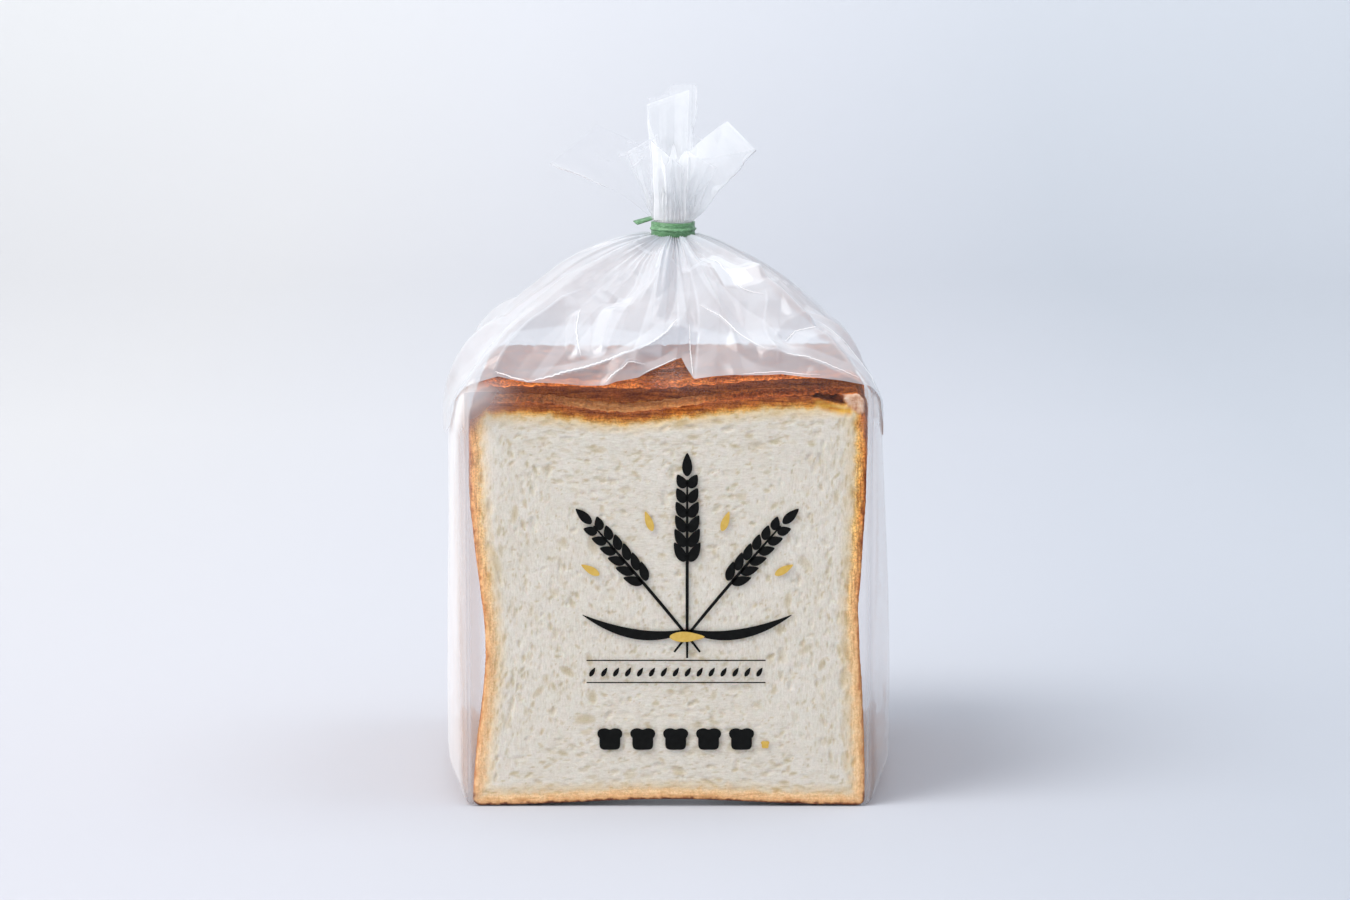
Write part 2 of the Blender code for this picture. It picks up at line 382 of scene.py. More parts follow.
def stamp_pores(x, z, inward, edge_turn):
    """Sinks pores into a cut face; returns how deep each point lies and how dark it is, from 0 to 1, its
    darkness partly the pore's own tone and partly painted shade in its hollow.
    """
    depth = np.zeros_like(x)
    dark = np.zeros_like(x)
    rows, columns = x.shape
    step = abs(x[rows // 2, columns // 2 + 1] - x[rows // 2, columns // 2])
    area = (x.max() - x.min()) * (z.max() - z.min())
    for _ in range(int(PORE_SHARE * area / (PORE_CELL * PORE_CELL))):
        i, j = rng.integers(1, rows - 1), rng.integers(1, columns - 1)
        if inward[i, j] < PORE_FREE:
            continue
        near = math.exp(-inward[i, j] / RIM_PULL)
        size = PORE_SIZE * math.exp(rng.normal(0, 0.45))
        if rng.random() < LARGE_PORES:
            size = LARGE_PORE_SIZE * math.exp(rng.normal(0, 0.22))
        long = size * (1.15 + 1.7 * near + 0.8 * rng.random())
        turn = edge_turn[i, j] if rng.random() < 0.3 + near else rng.uniform(0, math.pi)
        turn += rng.normal(0, 0.2)
        sunk = (0.1 + 0.9 * rng.random() ** 2) * min(PORE_DEPTH, 0.6 * size)
        shade = 0.15 + 0.85 * rng.random() ** 1.7
        span = int(long / step) + 2
        here = (slice(max(0, i - span), i + span + 1), slice(max(0, j - span), j + span + 1))
        dx, dz = x[here] - x[i, j], z[here] - z[i, j]
        along = (dx * math.cos(turn) + dz * math.sin(turn)) / long
        across = (dz * math.cos(turn) - dx * math.sin(turn)) / size
        bowl = np.clip(1 - along**2 - across**2, 0, None) ** 0.6
        depth[here] = np.maximum(depth[here], sunk * bowl)
        dark[here] = np.maximum(dark[here], shade * bowl)
    return depth, dark


def loose_corner(x, z):
    """The loosened crust: the hollow under it, the golden slope below that, and the pale curl beside."""
    ragged = RAGGED * noise_at(as_points(x, 0, z), 500, 3, 9).reshape(x.shape)
    top = np.interp(x, LOOSE_X, LOOSE_TOP) + ragged
    foot = np.interp(x, LOOSE_X, LOOSE_FOOT) + ragged
    curl_edge = CURL_EDGE + 0.9 * (0.1222 - z) * (z < 0.1222) + 2 * ragged
    hollow = np.minimum(np.minimum(top - z, z - foot), np.minimum(x - LOOSE_X[0], curl_edge - x))
    hollow = limited(hollow / 0.0004)
    slope = limited(1.25 - abs(z - foot + SLOPE_HALF) / SLOPE_HALF) * limited((x - SLOPE_FROM) / 0.004)
    slope = slope * limited((SLOPE_TO - x) / 0.001) * (1 - hollow)
    curl = limited((x - curl_edge) / 0.0006) * limited((z - CURL_FOOT - ragged) / 0.001)
    return hollow, slope, curl * limited((CURL_END - x) / 0.0006)


def build_slice(number, columns, rows, wall_steps, porous_sides):
    """One slice: two cut faces on grids, and the crust as a wall between their rims."""
    x, z = slice_face(number, columns, rows)
    front_y = LOAF_FRONT + number * SLICE_PITCH
    back_y = front_y + SLICE_PITCH - SLICE_GAP
    rim_x, rim_z = rim_of(x), rim_of(z)
    rim = len(rim_x)
    tree = search_tree(as_points(rim_x, 0, rim_z))
    hits = [tree.find((px, 0, pz)) for px, pz in zip(x.ravel(), z.ravel())]
    inward = np.array([hit[2] for hit in hits]).reshape(x.shape)
    nearest = np.array([hit[1] for hit in hits]).reshape(x.shape)
    rim_turn = np.arctan2(np.roll(rim_z, -3) - np.roll(rim_z, 3), np.roll(rim_x, -3) - np.roll(rim_x, 3))
    beside = np.minimum(x - left_edge(z), right_edge(z) - x)
    below = np.minimum(z - slice_base(x), slice_top(x, number) - z)
    upright = 1 / (1 + np.exp(np.clip((beside - below) / 0.005, -40, 40)))

    points, faces = [], []
    marks = {label: [] for label in ("crust_in", "pore_tone_and_shade", "upright", "hollow", "slope", "curl")}
    for side, (face_y, outward) in enumerate(((front_y, -1), (back_y, 1))):
        depth = np.zeros_like(x)
        dark = np.zeros_like(x)
        if side in porous_sides:
            depth, dark = stamp_pores(x, z, inward, rim_turn[nearest])
            waves = noise_at(as_points(x, face_y, z), 800, 3, number + side)
            depth = depth + CUT_WAVE * waves.reshape(x.shape)
            # The knife drags the crust a little proud and leaves a groove inside it
            depth = depth - DRAGGED * hump(inward, 0.001, 0.0011) + GROOVE * hump(inward, 0.0034, 0.001)
            depth = depth * limited(inward / 0.0006)
        hollow, slope, curl = 0 * x, 0 * x, 0 * x
        if number == 0 and side == 0:
            hollow, slope, curl = loose_corner(x, z)
            depth = depth + HOLLOW_DEPTH * hollow - CURL_PROUD * curl + SLOPE_DEPTH * slope
        points.append(as_points(x, face_y - outward * depth, z))
        crust_in = inward * (1 if number == 0 else 0.5) / MM
        for label, values in zip(marks, (crust_in, dark, upright, hollow, slope, curl)):
            marks[label].append(values.ravel())
        quads = grid_faces(x.shape, side * x.size)
        faces.append(quads if outward < 0 else quads[:, ::-1])

    front_rim = rim_of(np.arange(x.size).reshape(x.shape))
    rings = [front_rim]
    for step in range(1, wall_steps):
        ring = as_points(rim_x, front_y + (back_y - front_y) * step / wall_steps, rim_z)
        ends = min(1.0, 3.0 * min(step, wall_steps - step) / wall_steps)
        # Long wrinkles run round the loaf, with small blisters between them
        wrinkled = WRINKLE * noise_at(ring * np.array((0.1, 1.0, 0.1)), 430, 4, 7.0)
        swell = (wrinkled + BLISTER * noise_at(ring, 1000, 3, 3.0) + CRUST_PROUD) * ends
        ring[:, 0] += np.sin(rim_turn) * swell
        ring[:, 2] = np.maximum(ring[:, 2] - np.cos(rim_turn) * swell, CRUST_CLEAR)
        points.append(ring)
        for label, kept in marks.items():
            kept.append(np.full(rim, CRUST_SKIN / MM if label == "crust_in" else 0.0))
        rings.append(np.arange(rim) + 2 * x.size + (step - 1) * rim)
    rings.append(front_rim + x.size)
    for lower, upper in zip(rings, rings[1:]):
        faces.append(np.stack([lower, upper, np.roll(upper, -1), np.roll(lower, -1)], -1))
    kinds = np.zeros(sum(map(len, faces)), np.int32)
    kinds[len(faces[0]) + len(faces[1]):] = 1
    marks = {label: np.concatenate(kept) for label, kept in marks.items()}
    name = "slice_%d" % (number + 1)
    piece = mesh_piece(name, np.concatenate(points), np.concatenate(faces), (crumb, crust), marks)
    piece.data.polygons.foreach_set("material_index", kinds)
    return piece


def axis_of(add, spot, axis):
    return add("SeparateXYZ", {"Vector": spot}).outputs[axis]


def marked(add, label):
    """A value that the mesh carries at its points."""
    return add("Attribute", attribute_name=label).outputs["Fac"]


def speckle(add, spot, scale, detail, roughness=0.5, stretch=None, distortion=0.0):
    """Noise over a piece; it is drawn out along an axis whose stretch is below 1."""
    if stretch:
        spot = add("Mapping", {"Vector": spot}, Scale=stretch).outputs["Vector"]
    return add("TexNoise", {"Vector": spot}, Scale=scale, Detail=detail, Roughness=roughness,
               Distortion=distortion).outputs["Fac"]


def reckoned(add, operation, *values, **settings):
    """A sum at every point; each value is a number or what another node gives."""
    links = {place: value for place, value in enumerate(values) if not isinstance(value, float)}
    node = add("Math", links, operation=operation, **settings)
    for place, value in enumerate(values):
        if place not in links:
            node.inputs[place].default_value = value
    return node.outputs[0]


def times(add, base, tint):
    node = add("Mix", {6: base, 7: tint}, data_type="RGBA", blend_type="MULTIPLY")
    node.inputs[0].default_value = 1.0
    return node.outputs[2]


# Crumb: the crust's colours come first, by how far a point lies inside the rim, then the crumb's own. Strands
# of cell wall run along the nearest crust, upright beside the sides and level under the top
crumb, add = new_finish("crumb")
spot = add("TexCoord").outputs["Object"]
height = axis_of(add, spot, "Z")
upright = marked(add, "upright")


def along_crust(scale, stretch, detail):
    """Noise drawn out along the nearest crust."""
    standing = speckle(add, spot, scale, detail, 0.6, (1.0, 1.0, stretch))
    lying = speckle(add, spot, scale, detail, 0.6, (stretch, 1.0, 1.0))
    return add("Mix", {0: upright, 2: lying, 3: standing}).outputs[0]


wander = speckle(add, spot, 380.0, 4.0)
uneven = spread(add, wander, 0.3, 0.7, -0.6, 0.6)
depth_in = spread(add, reckoned(add, "ADD", marked(add, "crust_in"), uneven), 0.0, 10.0)
CRUMB = (0.772, 0.718, 0.632)
NEAR_CRUST = (0.79, 0.67, 0.5)
low_crust = ramp(add, depth_in, (0.0, (0.62, 0.27, 0.11)), (0.07, (0.84, 0.5, 0.24)),
                 (0.27, (0.85, 0.59, 0.34)), (0.37, (0.79, 0.63, 0.43)), (0.45, NEAR_CRUST), (0.66, CRUMB))
side_crust = ramp(add, depth_in, (0.0, (0.34, 0.085, 0.022)), (0.05, (0.64, 0.22, 0.05)),
                  (0.16, (0.76, 0.36, 0.095)), (0.28, (0.8, 0.5, 0.18)), (0.36, (0.8, 0.61, 0.37)),
                  (0.46, NEAR_CRUST), (0.72, CRUMB))
top_crust = ramp(add, depth_in, (0.0, (0.24, 0.06, 0.018)), (0.1, (0.36, 0.1, 0.02)),
                 (0.19, (0.46, 0.14, 0.026)), (0.27, (0.66, 0.28, 0.05)), (0.34, (0.77, 0.47, 0.16)),
                 (0.43, (0.78, 0.62, 0.4)), (0.8, CRUMB))
# At the base the rim is painted dark: the crust's own colour with painted shade, the contact shadow under the
# loaf
base_crust_and_shade = ramp(add, depth_in, (0.0, (0.13, 0.045, 0.025)), (0.035, (0.36, 0.14, 0.06)),
                  (0.08, (0.8, 0.44, 0.2)), (0.27, (0.85, 0.58, 0.33)), (0.37, (0.79, 0.63, 0.43)),
                  (0.45, NEAR_CRUST), (0.66, CRUMB))
rising = spread(add, height, 0.0, 0.125)
high_side = ramp(add, rising, (0.34, 0.0), (0.72, 1.0))
# Towards the left the darker colours at the top of the sides fade out, so the left side is paler than the
# right
across = axis_of(add, spot, "X")
high_side = reckoned(add, "MULTIPLY", high_side, spread(add, across, -0.03, -0.052, 1.0, 0.45))
sides = blend_colours(add, high_side, low_crust, side_crust)
# The left edge is painted lighter still: a painted highlight from the key light on the left
lit_left = ramp(add, spread(add, across, -0.058, -0.05), (0.0, (1.22, 1.2, 1.22)), (1.0, 1.0))
sides = times(add, sides, lit_left)
sides = blend_colours(add, ramp(add, rising, (0.022, 0.0), (0.04, 1.0)), base_crust_and_shade, sides)
coloured = blend_colours(add, ramp(add, rising, (0.885, 0.0), (0.935, 1.0)), sides, top_crust)


def by_height(value, low_tones, high_tones):
    """Flecks from dark to light, mild at the foot of the loaf's sides and strong at their top."""
    low, high = (ramp(add, value, *zip((0.36, 0.5, 0.64), tones)) for tones in (low_tones, high_tones))
    return blend_colours(add, high_side, low, high)


# The crust's own fibres, dark and light, fade out where the crumb begins
fibre_lie = along_crust(1300.0, 0.12, 5.0)
fibres = by_height(fibre_lie, ((0.84, 0.77, 0.68), 1.0, (1.08, 1.1, 1.1)),
                   ((0.5, 0.38, 0.3), 0.97, (1.36, 1.34, 1.22)))
grit = speckle(add, spot, 1700.0, 4.0, 0.75)
gritty = by_height(grit, ((0.9, 0.85, 0.78), 1.0, (1.06, 1.09, 1.12)),
                   ((0.6, 0.52, 0.44), 0.99, (1.36, 1.35, 1.28)))
crusty = ramp(add, depth_in, (0.24, 1.0), (0.42, 0.0))
coloured = blend_colours(add, crusty, coloured, times(add, times(add, coloured, fibres), gritty))
cloud = speckle(add, spot, 95.0, 4.0)
coloured = times(add, coloured, ramp(add, cloud, (0.3, (0.955, 0.945, 0.92)), (0.7, 1.0)))
strands = ramp(add, along_crust(760.0, 0.5, 5.0), (0.3, (0.945, 0.93, 0.9)), (0.47, (0.995, 0.99, 0.985)),
               (0.62, (1.025, 1.025, 1.02)))
grains = ramp(add, grit, (0.34, (0.94, 0.93, 0.91)), (0.66, (1.05, 1.055, 1.06)))
threads = ramp(add, along_crust(2200.0, 0.22, 3.0), (0.36, (0.925, 0.91, 0.885)), (0.5, 1.0), (0.64, 1.05))
# Pores painted darker and yellower: partly their own tone, partly painted shade in their hollows
pore_tint_and_shade = ramp(add, marked(add, "pore_tone_and_shade"), (0.0, 1.0), (0.35, (0.93, 0.9, 0.84)), (1.0, (0.75, 0.68, 0.52)))
for detail in (grains, strands, threads, pore_tint_and_shade):
    coloured = times(add, coloured, detail)
# The loosened corner: its hollow is painted dark red-brown, painted shade under the loose crust; the slope
# under it golden, the curl beside it pale
fibrous = along_crust(900.0, 0.3, 5.0)
curl_tone = ramp(add, fibrous, (0.36, (0.44, 0.16, 0.075)), (0.5, (0.74, 0.45, 0.29)),
                 (0.64, (0.84, 0.66, 0.52)))
slope_tone = ramp(add, fibrous, (0.36, (0.6, 0.2, 0.022)), (0.6, (0.82, 0.47, 0.075)))
hollow_shade_tone = ramp(add, wander, (0.35, (0.07, 0.014, 0.005)), (0.65, (0.34, 0.09, 0.022)))
for label, tone in (("curl", curl_tone), ("slope", slope_tone), ("hollow", hollow_shade_tone)):
    coloured = blend_colours(add, marked(add, label), coloured, tone)
relief = bumped(add, along_crust(1300.0, 0.6, 4.0), 0.12, 0.0005)
coat(crumb, add, coloured, relief, 0.92, Specular_IOR_Level=0.15, Subsurface_Weight=0.1,
     Subsurface_Scale=0.0015)

# Crust: brown and blistered on top, golden down the sides, paler towards the base, streaked round the loaf
crust, add = new_finish("crust")
spot = add("TexCoord").outputs["Object"]
height = axis_of(add, spot, "Z")
blotch = speckle(add, spot, 80.0, 6.0, 0.65)
streak = speckle(add, spot, 560.0, 6.0, 0.7, (0.42, 0.8, 0.6))
mottle = spread(add, reckoned(add, "ADD", blotch, streak), 0.74, 1.22)
golden = ramp(add, mottle, (0.0, (0.31, 0.105, 0.03)), (0.5, (0.5, 0.205, 0.06)),
              (1.0, (0.66, 0.36, 0.14)))
brown = ramp(add, mottle, (0.0, (0.14, 0.03, 0.008)), (0.45, (0.28, 0.066, 0.014)),
             (1.0, (0.5, 0.165, 0.036)))
grit = speckle(add, spot, 1200.0, 5.0, 0.75, (1.0, 0.2, 1.0))
gritty_top = ramp(add, grit, (0.37, (0.34, 0.26, 0.21)), (0.5, (0.95, 0.94, 0.93)),
                  (0.63, (1.75, 1.65, 1.4)))
gritty_side = ramp(add, grit, (0.35, (0.86, 0.8, 0.74)), (0.5, 1.0), (0.65, (1.1, 1.11, 1.12)))
golden = times(add, golden, gritty_side)
brown = times(add, brown, gritty_top)
# On top the front slice is painted darker than the second, and the ones behind lie between the two: painted
# shade and painted light on the slice tops
along = axis_of(add, spot, "Y")
top_light_by_slice = ramp(add, spread(add, along, -0.047, -0.007), (0.0, (0.78, 0.72, 0.66)), (0.125, (2.0, 2.0, 1.85)),
             (0.5, (1.9, 1.9, 1.75)), (0.65, (1.15, 1.15, 1.15)))
brown = times(add, brown, top_light_by_slice)
# Each slice's torn front edge is paler, partly its own torn crust and partly a painted highlight; its back
# edge is painted darker, painted shade in the gap
places = spread(add, along, LOAF_FRONT, LOAF_FRONT + SLICES * SLICE_PITCH, 0.0, SLICES)
in_slice = reckoned(add, "FRACT", places)
torn_edge_light_and_gap_shade = ramp(add, in_slice, (0.0, (1.6, 1.5, 1.45)), (0.055, (1.35, 1.28, 1.22)), (0.11, 1.0), (0.88, 1.0),
             (0.97, (0.6, 0.54, 0.5)))
brown = times(add, brown, torn_edge_light_and_gap_shade)
rising = spread(add, height, 0.0, 0.1255)
skin = blend_colours(add, ramp(add, rising, (0.55, 0.0), (0.955, 0.4), (0.975, 1.0)), golden, brown)
# The crust is painted darkest where it rests on the base: painted shade, the contact shadow under the loaf
skin = times(add, skin, ramp(add, spread(add, height, 0.0, 0.01), (0.08, (0.3, 0.22, 0.18)), (0.35, 1.0)))
blisters = add("TexVoronoi", {"Vector": spot}, Scale=560.0, feature="SMOOTH_F1").outputs["Distance"]
lumps = reckoned(add, "ADD", reckoned(add, "ADD", blisters, streak), grit)
sheen = spread(add, blotch, 0.0, 1.0, 0.75, 0.95)
coat(crust, add, skin, bumped(add, lumps, 0.6, 0.0007), sheen, Specular_IOR_Level=0.05)

slice_meshes = [FRONT_MESH] + [INNER_MESH] * (SLICES - 2) + [BACK_MESH]
for number, slice_mesh in enumerate(slice_meshes):
    piece = build_slice(number, *slice_mesh)
    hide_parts("bread_bag")
    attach(piece, "root")


# The bag: clear polypropylene film, a tube with gusseted sides, sealed below and gathered above. It lies
# flat on the cut slice, stands off the crust at the sides, and is drawn up in sharp pleats to the neck. Where
# it is folded on itself it turns milky, and its creases mirror the lamps.
SHELL_WIDTH = 0.06
SHELL_DEPTH = 0.066
SIDE_BULGE = 0.009
RIGHT_DRAWN_IN = 0.4
LEFT_DRAWN_IN = 0.16
BASE_TURN = 0.009
BASE_SEAL = 0.0018
BASE_INSET = 0.0012
SHOULDER = 0.114
SIDE_FOLD_DROP = 0.0105
NECK_X = 0.0013
NECK_RADIUS = 0.006
TIE_BOTTOM = 0.1653
TIE_TOP = 0.1699
PLEATS = 14
PLEAT_DEPTH = 0.0085
FINE_GATHERS = 0.0024
FINER_GATHERS = 0.0016
TENT_ROUND_FRONT = 1.2
TENT_ROUND_RIGHT = 1.32
TENT_ROUND_LEFT = 1.5
PLEAT_SHARE = 0.7
# Slack film: how high it folds, how many folds to a metre, and how far they are drawn out upwards
SLACK_FOLDS = 0.0019
FOLDS_PER_METRE = 26
FOLDS_DRAWN = (1.0, 1.0, 0.55)
# Creases of the front: how far out, half width, how milky along the crest (a painted highlight), and the
# places it passes, each with its turn round the neck in degrees and how far out it is, from 0 at the neck to
# 1 at the shoulder
FRONT_CREASES = (
    (0.002, 0.0045, 0.6, ((-122, 0.98), (-115, 0.95), (-108, 0.91), (-101, 0.86), (-96, 0.81), (-91, 0.73),
                          (-86, 0.63))),
    (-0.002, 0.005, 0.15, ((-119, 0.57), (-112, 0.53), (-111, 0.41), (-114, 0.26))),
    (0.002, 0.005, 0.3, ((-76, 0.53), (-70, 0.75), (-64, 0.84), (-56, 0.88), (-49, 0.98))),
    (0.0026, 0.006, 0.35, ((-66, 0.24), (-56, 0.36), (-30, 0.4))),
    (-0.002, 0.005, 0.2, ((-57, 0.8), (-52, 0.72), (-34, 0.7))),
    (-0.0026, 0.006, 0.2, ((-74, 0.1), (-77, 0.52), (-83, 0.95))),
    (0.0016, 0.0045, 0.15, ((-97, 0.1), (-97, 0.35), (-103, 0.56))),
    (-0.0014, 0.004, 0.15, ((-85, 0.25), (-88, 0.53), (-92, 0.71))),
    (0.0022, 0.0055, 0.3, ((-129, 0.95), (-130, 0.76), (-127, 0.49))),
    (0.0022, 0.005, 0.35, ((-36, 0.66), (-38, 0.8), (-45, 1.0))),
    (0.0016, 0.004, 0.3, ((-106, 0.99), (-103, 0.94), (-101, 0.9), (-97, 0.9))),
    (0.0016, 0.004, 0.2, ((-122, 0.63), (-114, 0.89))),
    (0.0016, 0.004, 0.2, ((-111, 0.59), (-109, 0.87))),
    (-0.0016, 0.005, 0.1, ((-142, 0.3), (-146, 0.62), (-139, 0.92))),
    (0.0018, 0.005, 0.2, ((-52, 0.5), (-60, 0.7), (-62, 0.9))),
)
LINE_HALF_WIDTH = 0.0006
# Crests painted white, a painted highlight along the sharpest creases: width, and the places they pass
CREST_GLINTS = (
    (0.0006, ((-123, 0.985), (-118, 0.965), (-115, 0.95), (-108, 0.91), (-101, 0.86))),
    (0.00045, ((-99, 0.845), (-96, 0.81), (-91, 0.73), (-87, 0.645))),
    (0.0004, ((-76, 0.53), (-70, 0.75), (-64, 0.84))), (0.00035, ((-60, 0.865), (-56, 0.88), (-49, 0.965))),
    (0.00045, ((-129, 0.95), (-126, 0.965), (-122.5, 0.98))),
    (0.0005, ((-36, 0.66), (-37, 0.74), (-38, 0.8), (-45, 0.99))),
    (0.00035, ((-106, 0.98), (-103, 0.94), (-101, 0.905), (-97, 0.9))),
    (0.00035, ((-122, 0.63), (-118, 0.76), (-114, 0.87))), (0.00035, ((-56, 0.77), (-52, 0.72), (-42, 0.71))),
    (0.0004, ((-62, 0.25), (-58, 0.37), (-56, 0.46), (-53, 0.53))), (0.00035, ((-83, 0.66), (-83, 0.92))),
    (0.0003, ((-71, 0.945), (-62, 0.93), (-55, 0.95))), (0.0003, ((-97, 0.94), (-92, 0.89), (-88, 0.83))),
)
# Ears that stand out of the tent: turn, how far, and how far out
EARS = ((206, 0.005, 0.88), (-28, 0.0055, 0.76), (152, 0.004, 0.84), (30, 0.004, 0.78),
        (-86, -0.004, 0.86))
EAR_HALF_ANGLE = math.radians(13)
EAR_LENGTH = 0.17


def turned_from(turn, centre):
    return (turn - centre + math.pi) % math.tau - math.pi


def triangle_wave(phase):
    """Straight-sided folds from -0.5 to 0.5, one for each whole step of the phase."""
    return abs((phase % 1.0) * 2 - 1) - 0.5


def shell_turns(right, back, left, front):
    """Directions that meet each side of the bag's rectangle at even steps, with one through each corner."""
    steps = [2 * np.arange(count) / count - 1 for count in (right, back, left, front)]
    across_x = np.concatenate([np.ones(right), -steps[1], -np.ones(left), steps[3]])
    across_y = np.concatenate([steps[0], np.ones(back), -steps[2], -np.ones(front)])
    return np.arctan2(across_y * SHELL_DEPTH, across_x * SHELL_WIDTH)


def crumple(points, scale, seed, waves=7):
    """Creased film: straight folds that cross at random angles, from about -1 to 1."""
    draw = np.random.default_rng(seed)
    spots = points.reshape(-1, 3)
    total = np.zeros(len(spots))
    for wave in range(waves):
        way = draw.normal(size=3)
        way /= np.linalg.norm(way)
        pitch = scale * (0.6 + 1.5 * draw.random())
        total += triangle_wave(spots @ way * pitch + draw.random()) / (1 + 0.35 * wave)
    return (total / 2.2).reshape(points.shape[:-1])


def slack_folds(points, ripple, seed):
    """How far slack film folds in and out at each point, with a fine ripple over it."""
    folds = crumple(points * np.array(FOLDS_DRAWN), FOLDS_PER_METRE, 5, 4)
    return SLACK_FOLDS * folds + ripple * crumple(points, 80, seed, 4)


def body_at(turn, height):
    """The lower bag: flat front and back, and sides that stand off the crust between them."""
    across, along = abs(np.cos(turn)) / SHELL_WIDTH, abs(np.sin(turn)) / SHELL_DEPTH
    reach = (across**60 + along**60) ** (-1 / 60)
    x, y = reach * np.cos(turn), reach * np.sin(turn)
    up = height / SHOULDER
    drawn_in = np.where(x > 0, RIGHT_DRAWN_IN * up**2, LEFT_DRAWN_IN * up**3)
    fullness = np.sqrt(np.minimum(1, height / BASE_TURN)) * (1 - drawn_in)
    standoff = SIDE_BULGE * fullness * limited(1 - (y / SHELL_DEPTH) ** 2) ** 0.6
    inset = BASE_INSET * (1 - np.minimum(1, height / BASE_SEAL)) ** 2
    x = x + np.copysign(standoff, x) * np.minimum(1, abs(x) / (0.8 * SHELL_WIDTH)) ** 3
    return np.stack([x * (1 - inset / reach), y * (1 - inset / reach), height + 0 * turn], -1)


def tent_at(turn, out):
    """The gathered top: out runs from 1 at the shoulder to 0 at the neck."""
    side_roundness = np.where(np.cos(turn) > 0, TENT_ROUND_RIGHT, TENT_ROUND_LEFT)
    roundness = TENT_ROUND_FRONT + (side_roundness - TENT_ROUND_FRONT) * np.cos(turn) ** 2
    edge = body_at(turn, SHOULDER)
    foot = SHOULDER + SIDE_FOLD_DROP * np.minimum(1, abs(edge[..., 1]) / SHELL_DEPTH) ** 4
    x = out * edge[..., 0] + (1 - out) * (NECK_X + NECK_RADIUS * np.cos(turn))
    y = out * edge[..., 1] + (1 - out) * NECK_RADIUS * np.sin(turn)
    rise = limited(1 - out**roundness) ** (1 / roundness)
    phase = PLEATS * turn / 2 + 0.9 * np.sin(2 * turn + 0.6) + 0.5 * np.sin(5 * turn)
    swell = PLEAT_DEPTH * np.sqrt(out) * (1 - out) * (0.5 - abs(np.sin(phase)))
    for centre, height, place in EARS:
        across = abs(turned_from(turn, math.radians(centre))) / EAR_HALF_ANGLE
        swell = swell + height * limited(1 - across) * limited(1 - ((out - place) / EAR_LENGTH) ** 2)
    # Fine gathers, which die out away from the neck
    uneven = 0.6 + 0.5 * np.sin(2 * turn + 2.1) + 0.3 * np.sin(5 * turn)
    fine = triangle_wave(5.5 * turn + 0.35 * np.sin(3 * turn)) * FINE_GATHERS
    fine = fine * (1 - out) ** 2.4 * np.sqrt(out) * uneven
    finer = triangle_wave(11.3 * turn + 0.5 * np.sin(4 * turn + 1)) * FINER_GATHERS * (1 - out) ** 4
    swell = PLEAT_SHARE * (swell + fine + finer)
    z = foot + (TIE_BOTTOM - foot) * rise + swell
    return np.stack([x + swell * np.cos(turn), y + swell * np.sin(turn), z], -1)


def outward_at(turn, points):
    """Roughly the way out of the bag: level at its sides, half upward on its tent."""
    lift = limited((points[..., 2] - SHOULDER) / 0.012) * 0.9
    way = np.stack([np.cos(turn), np.sin(turn), lift], -1)
    return way / np.linalg.norm(way, axis=-1, keepdims=True)


def distance_to_line(points, line):
    """From each point to the nearest place of a line of points, and how far along it that is, from 0 to 1."""
    best = np.full(len(points), 1.0)
    along = np.zeros(len(points))
    for i in range(len(line) - 1):
        start, step = line[i], line[i + 1] - line[i]
        share = limited((points - start) @ step / (step @ step))
        gap = np.linalg.norm(points - start - share[:, None] * step, axis=1)
        nearer = gap < best
        best = np.where(nearer, gap, best)
        along = np.where(nearer, (i + share) / (len(line) - 1), along)
    return best, along


def traced(places, count):
    """Turns and outs at even steps along a line of places on the tent."""
    stops = np.array(places, float)
    steps = np.linspace(0, len(stops) - 1, count)
    turns, outs = (np.interp(steps, np.arange(len(stops)), column) for column in stops.T)
    return np.radians(turns), outs


def creased(turn, points):
    """The points with the front's creases raised or sunk in them, and how milky each is along the crests, a
    painted highlight.
    """
    flat_points = points.reshape(-1, 3).copy()
    lift = np.zeros(len(flat_points))
    crest = np.zeros(len(flat_points))
    for height, half_width, milkiness, places in FRONT_CREASES:
        gap, along = distance_to_line(flat_points, tent_at(*traced(places, 4 * len(places))))
        taper = limited(5 * np.minimum(along + 0.03, 1.03 - along))
        lift += height * taper * limited(1 - gap / half_width)
        crest = np.maximum(crest, milkiness * taper * limited(1 - gap / LINE_HALF_WIDTH))
    way = outward_at(turn, points).reshape(-1, 3)
    return (flat_points + way * lift[:, None]).reshape(points.shape), crest.reshape(turn.shape)


def stacked_rows(shape):
    """Faces between rows of the same closed round of points."""
    ids = np.arange(shape[0] * shape[1]).reshape(shape)
    quads = np.stack([ids[:-1], np.roll(ids[:-1], -1, 1), np.roll(ids[1:], -1, 1), ids[1:]], -1)
    return quads.reshape(-1, 4)


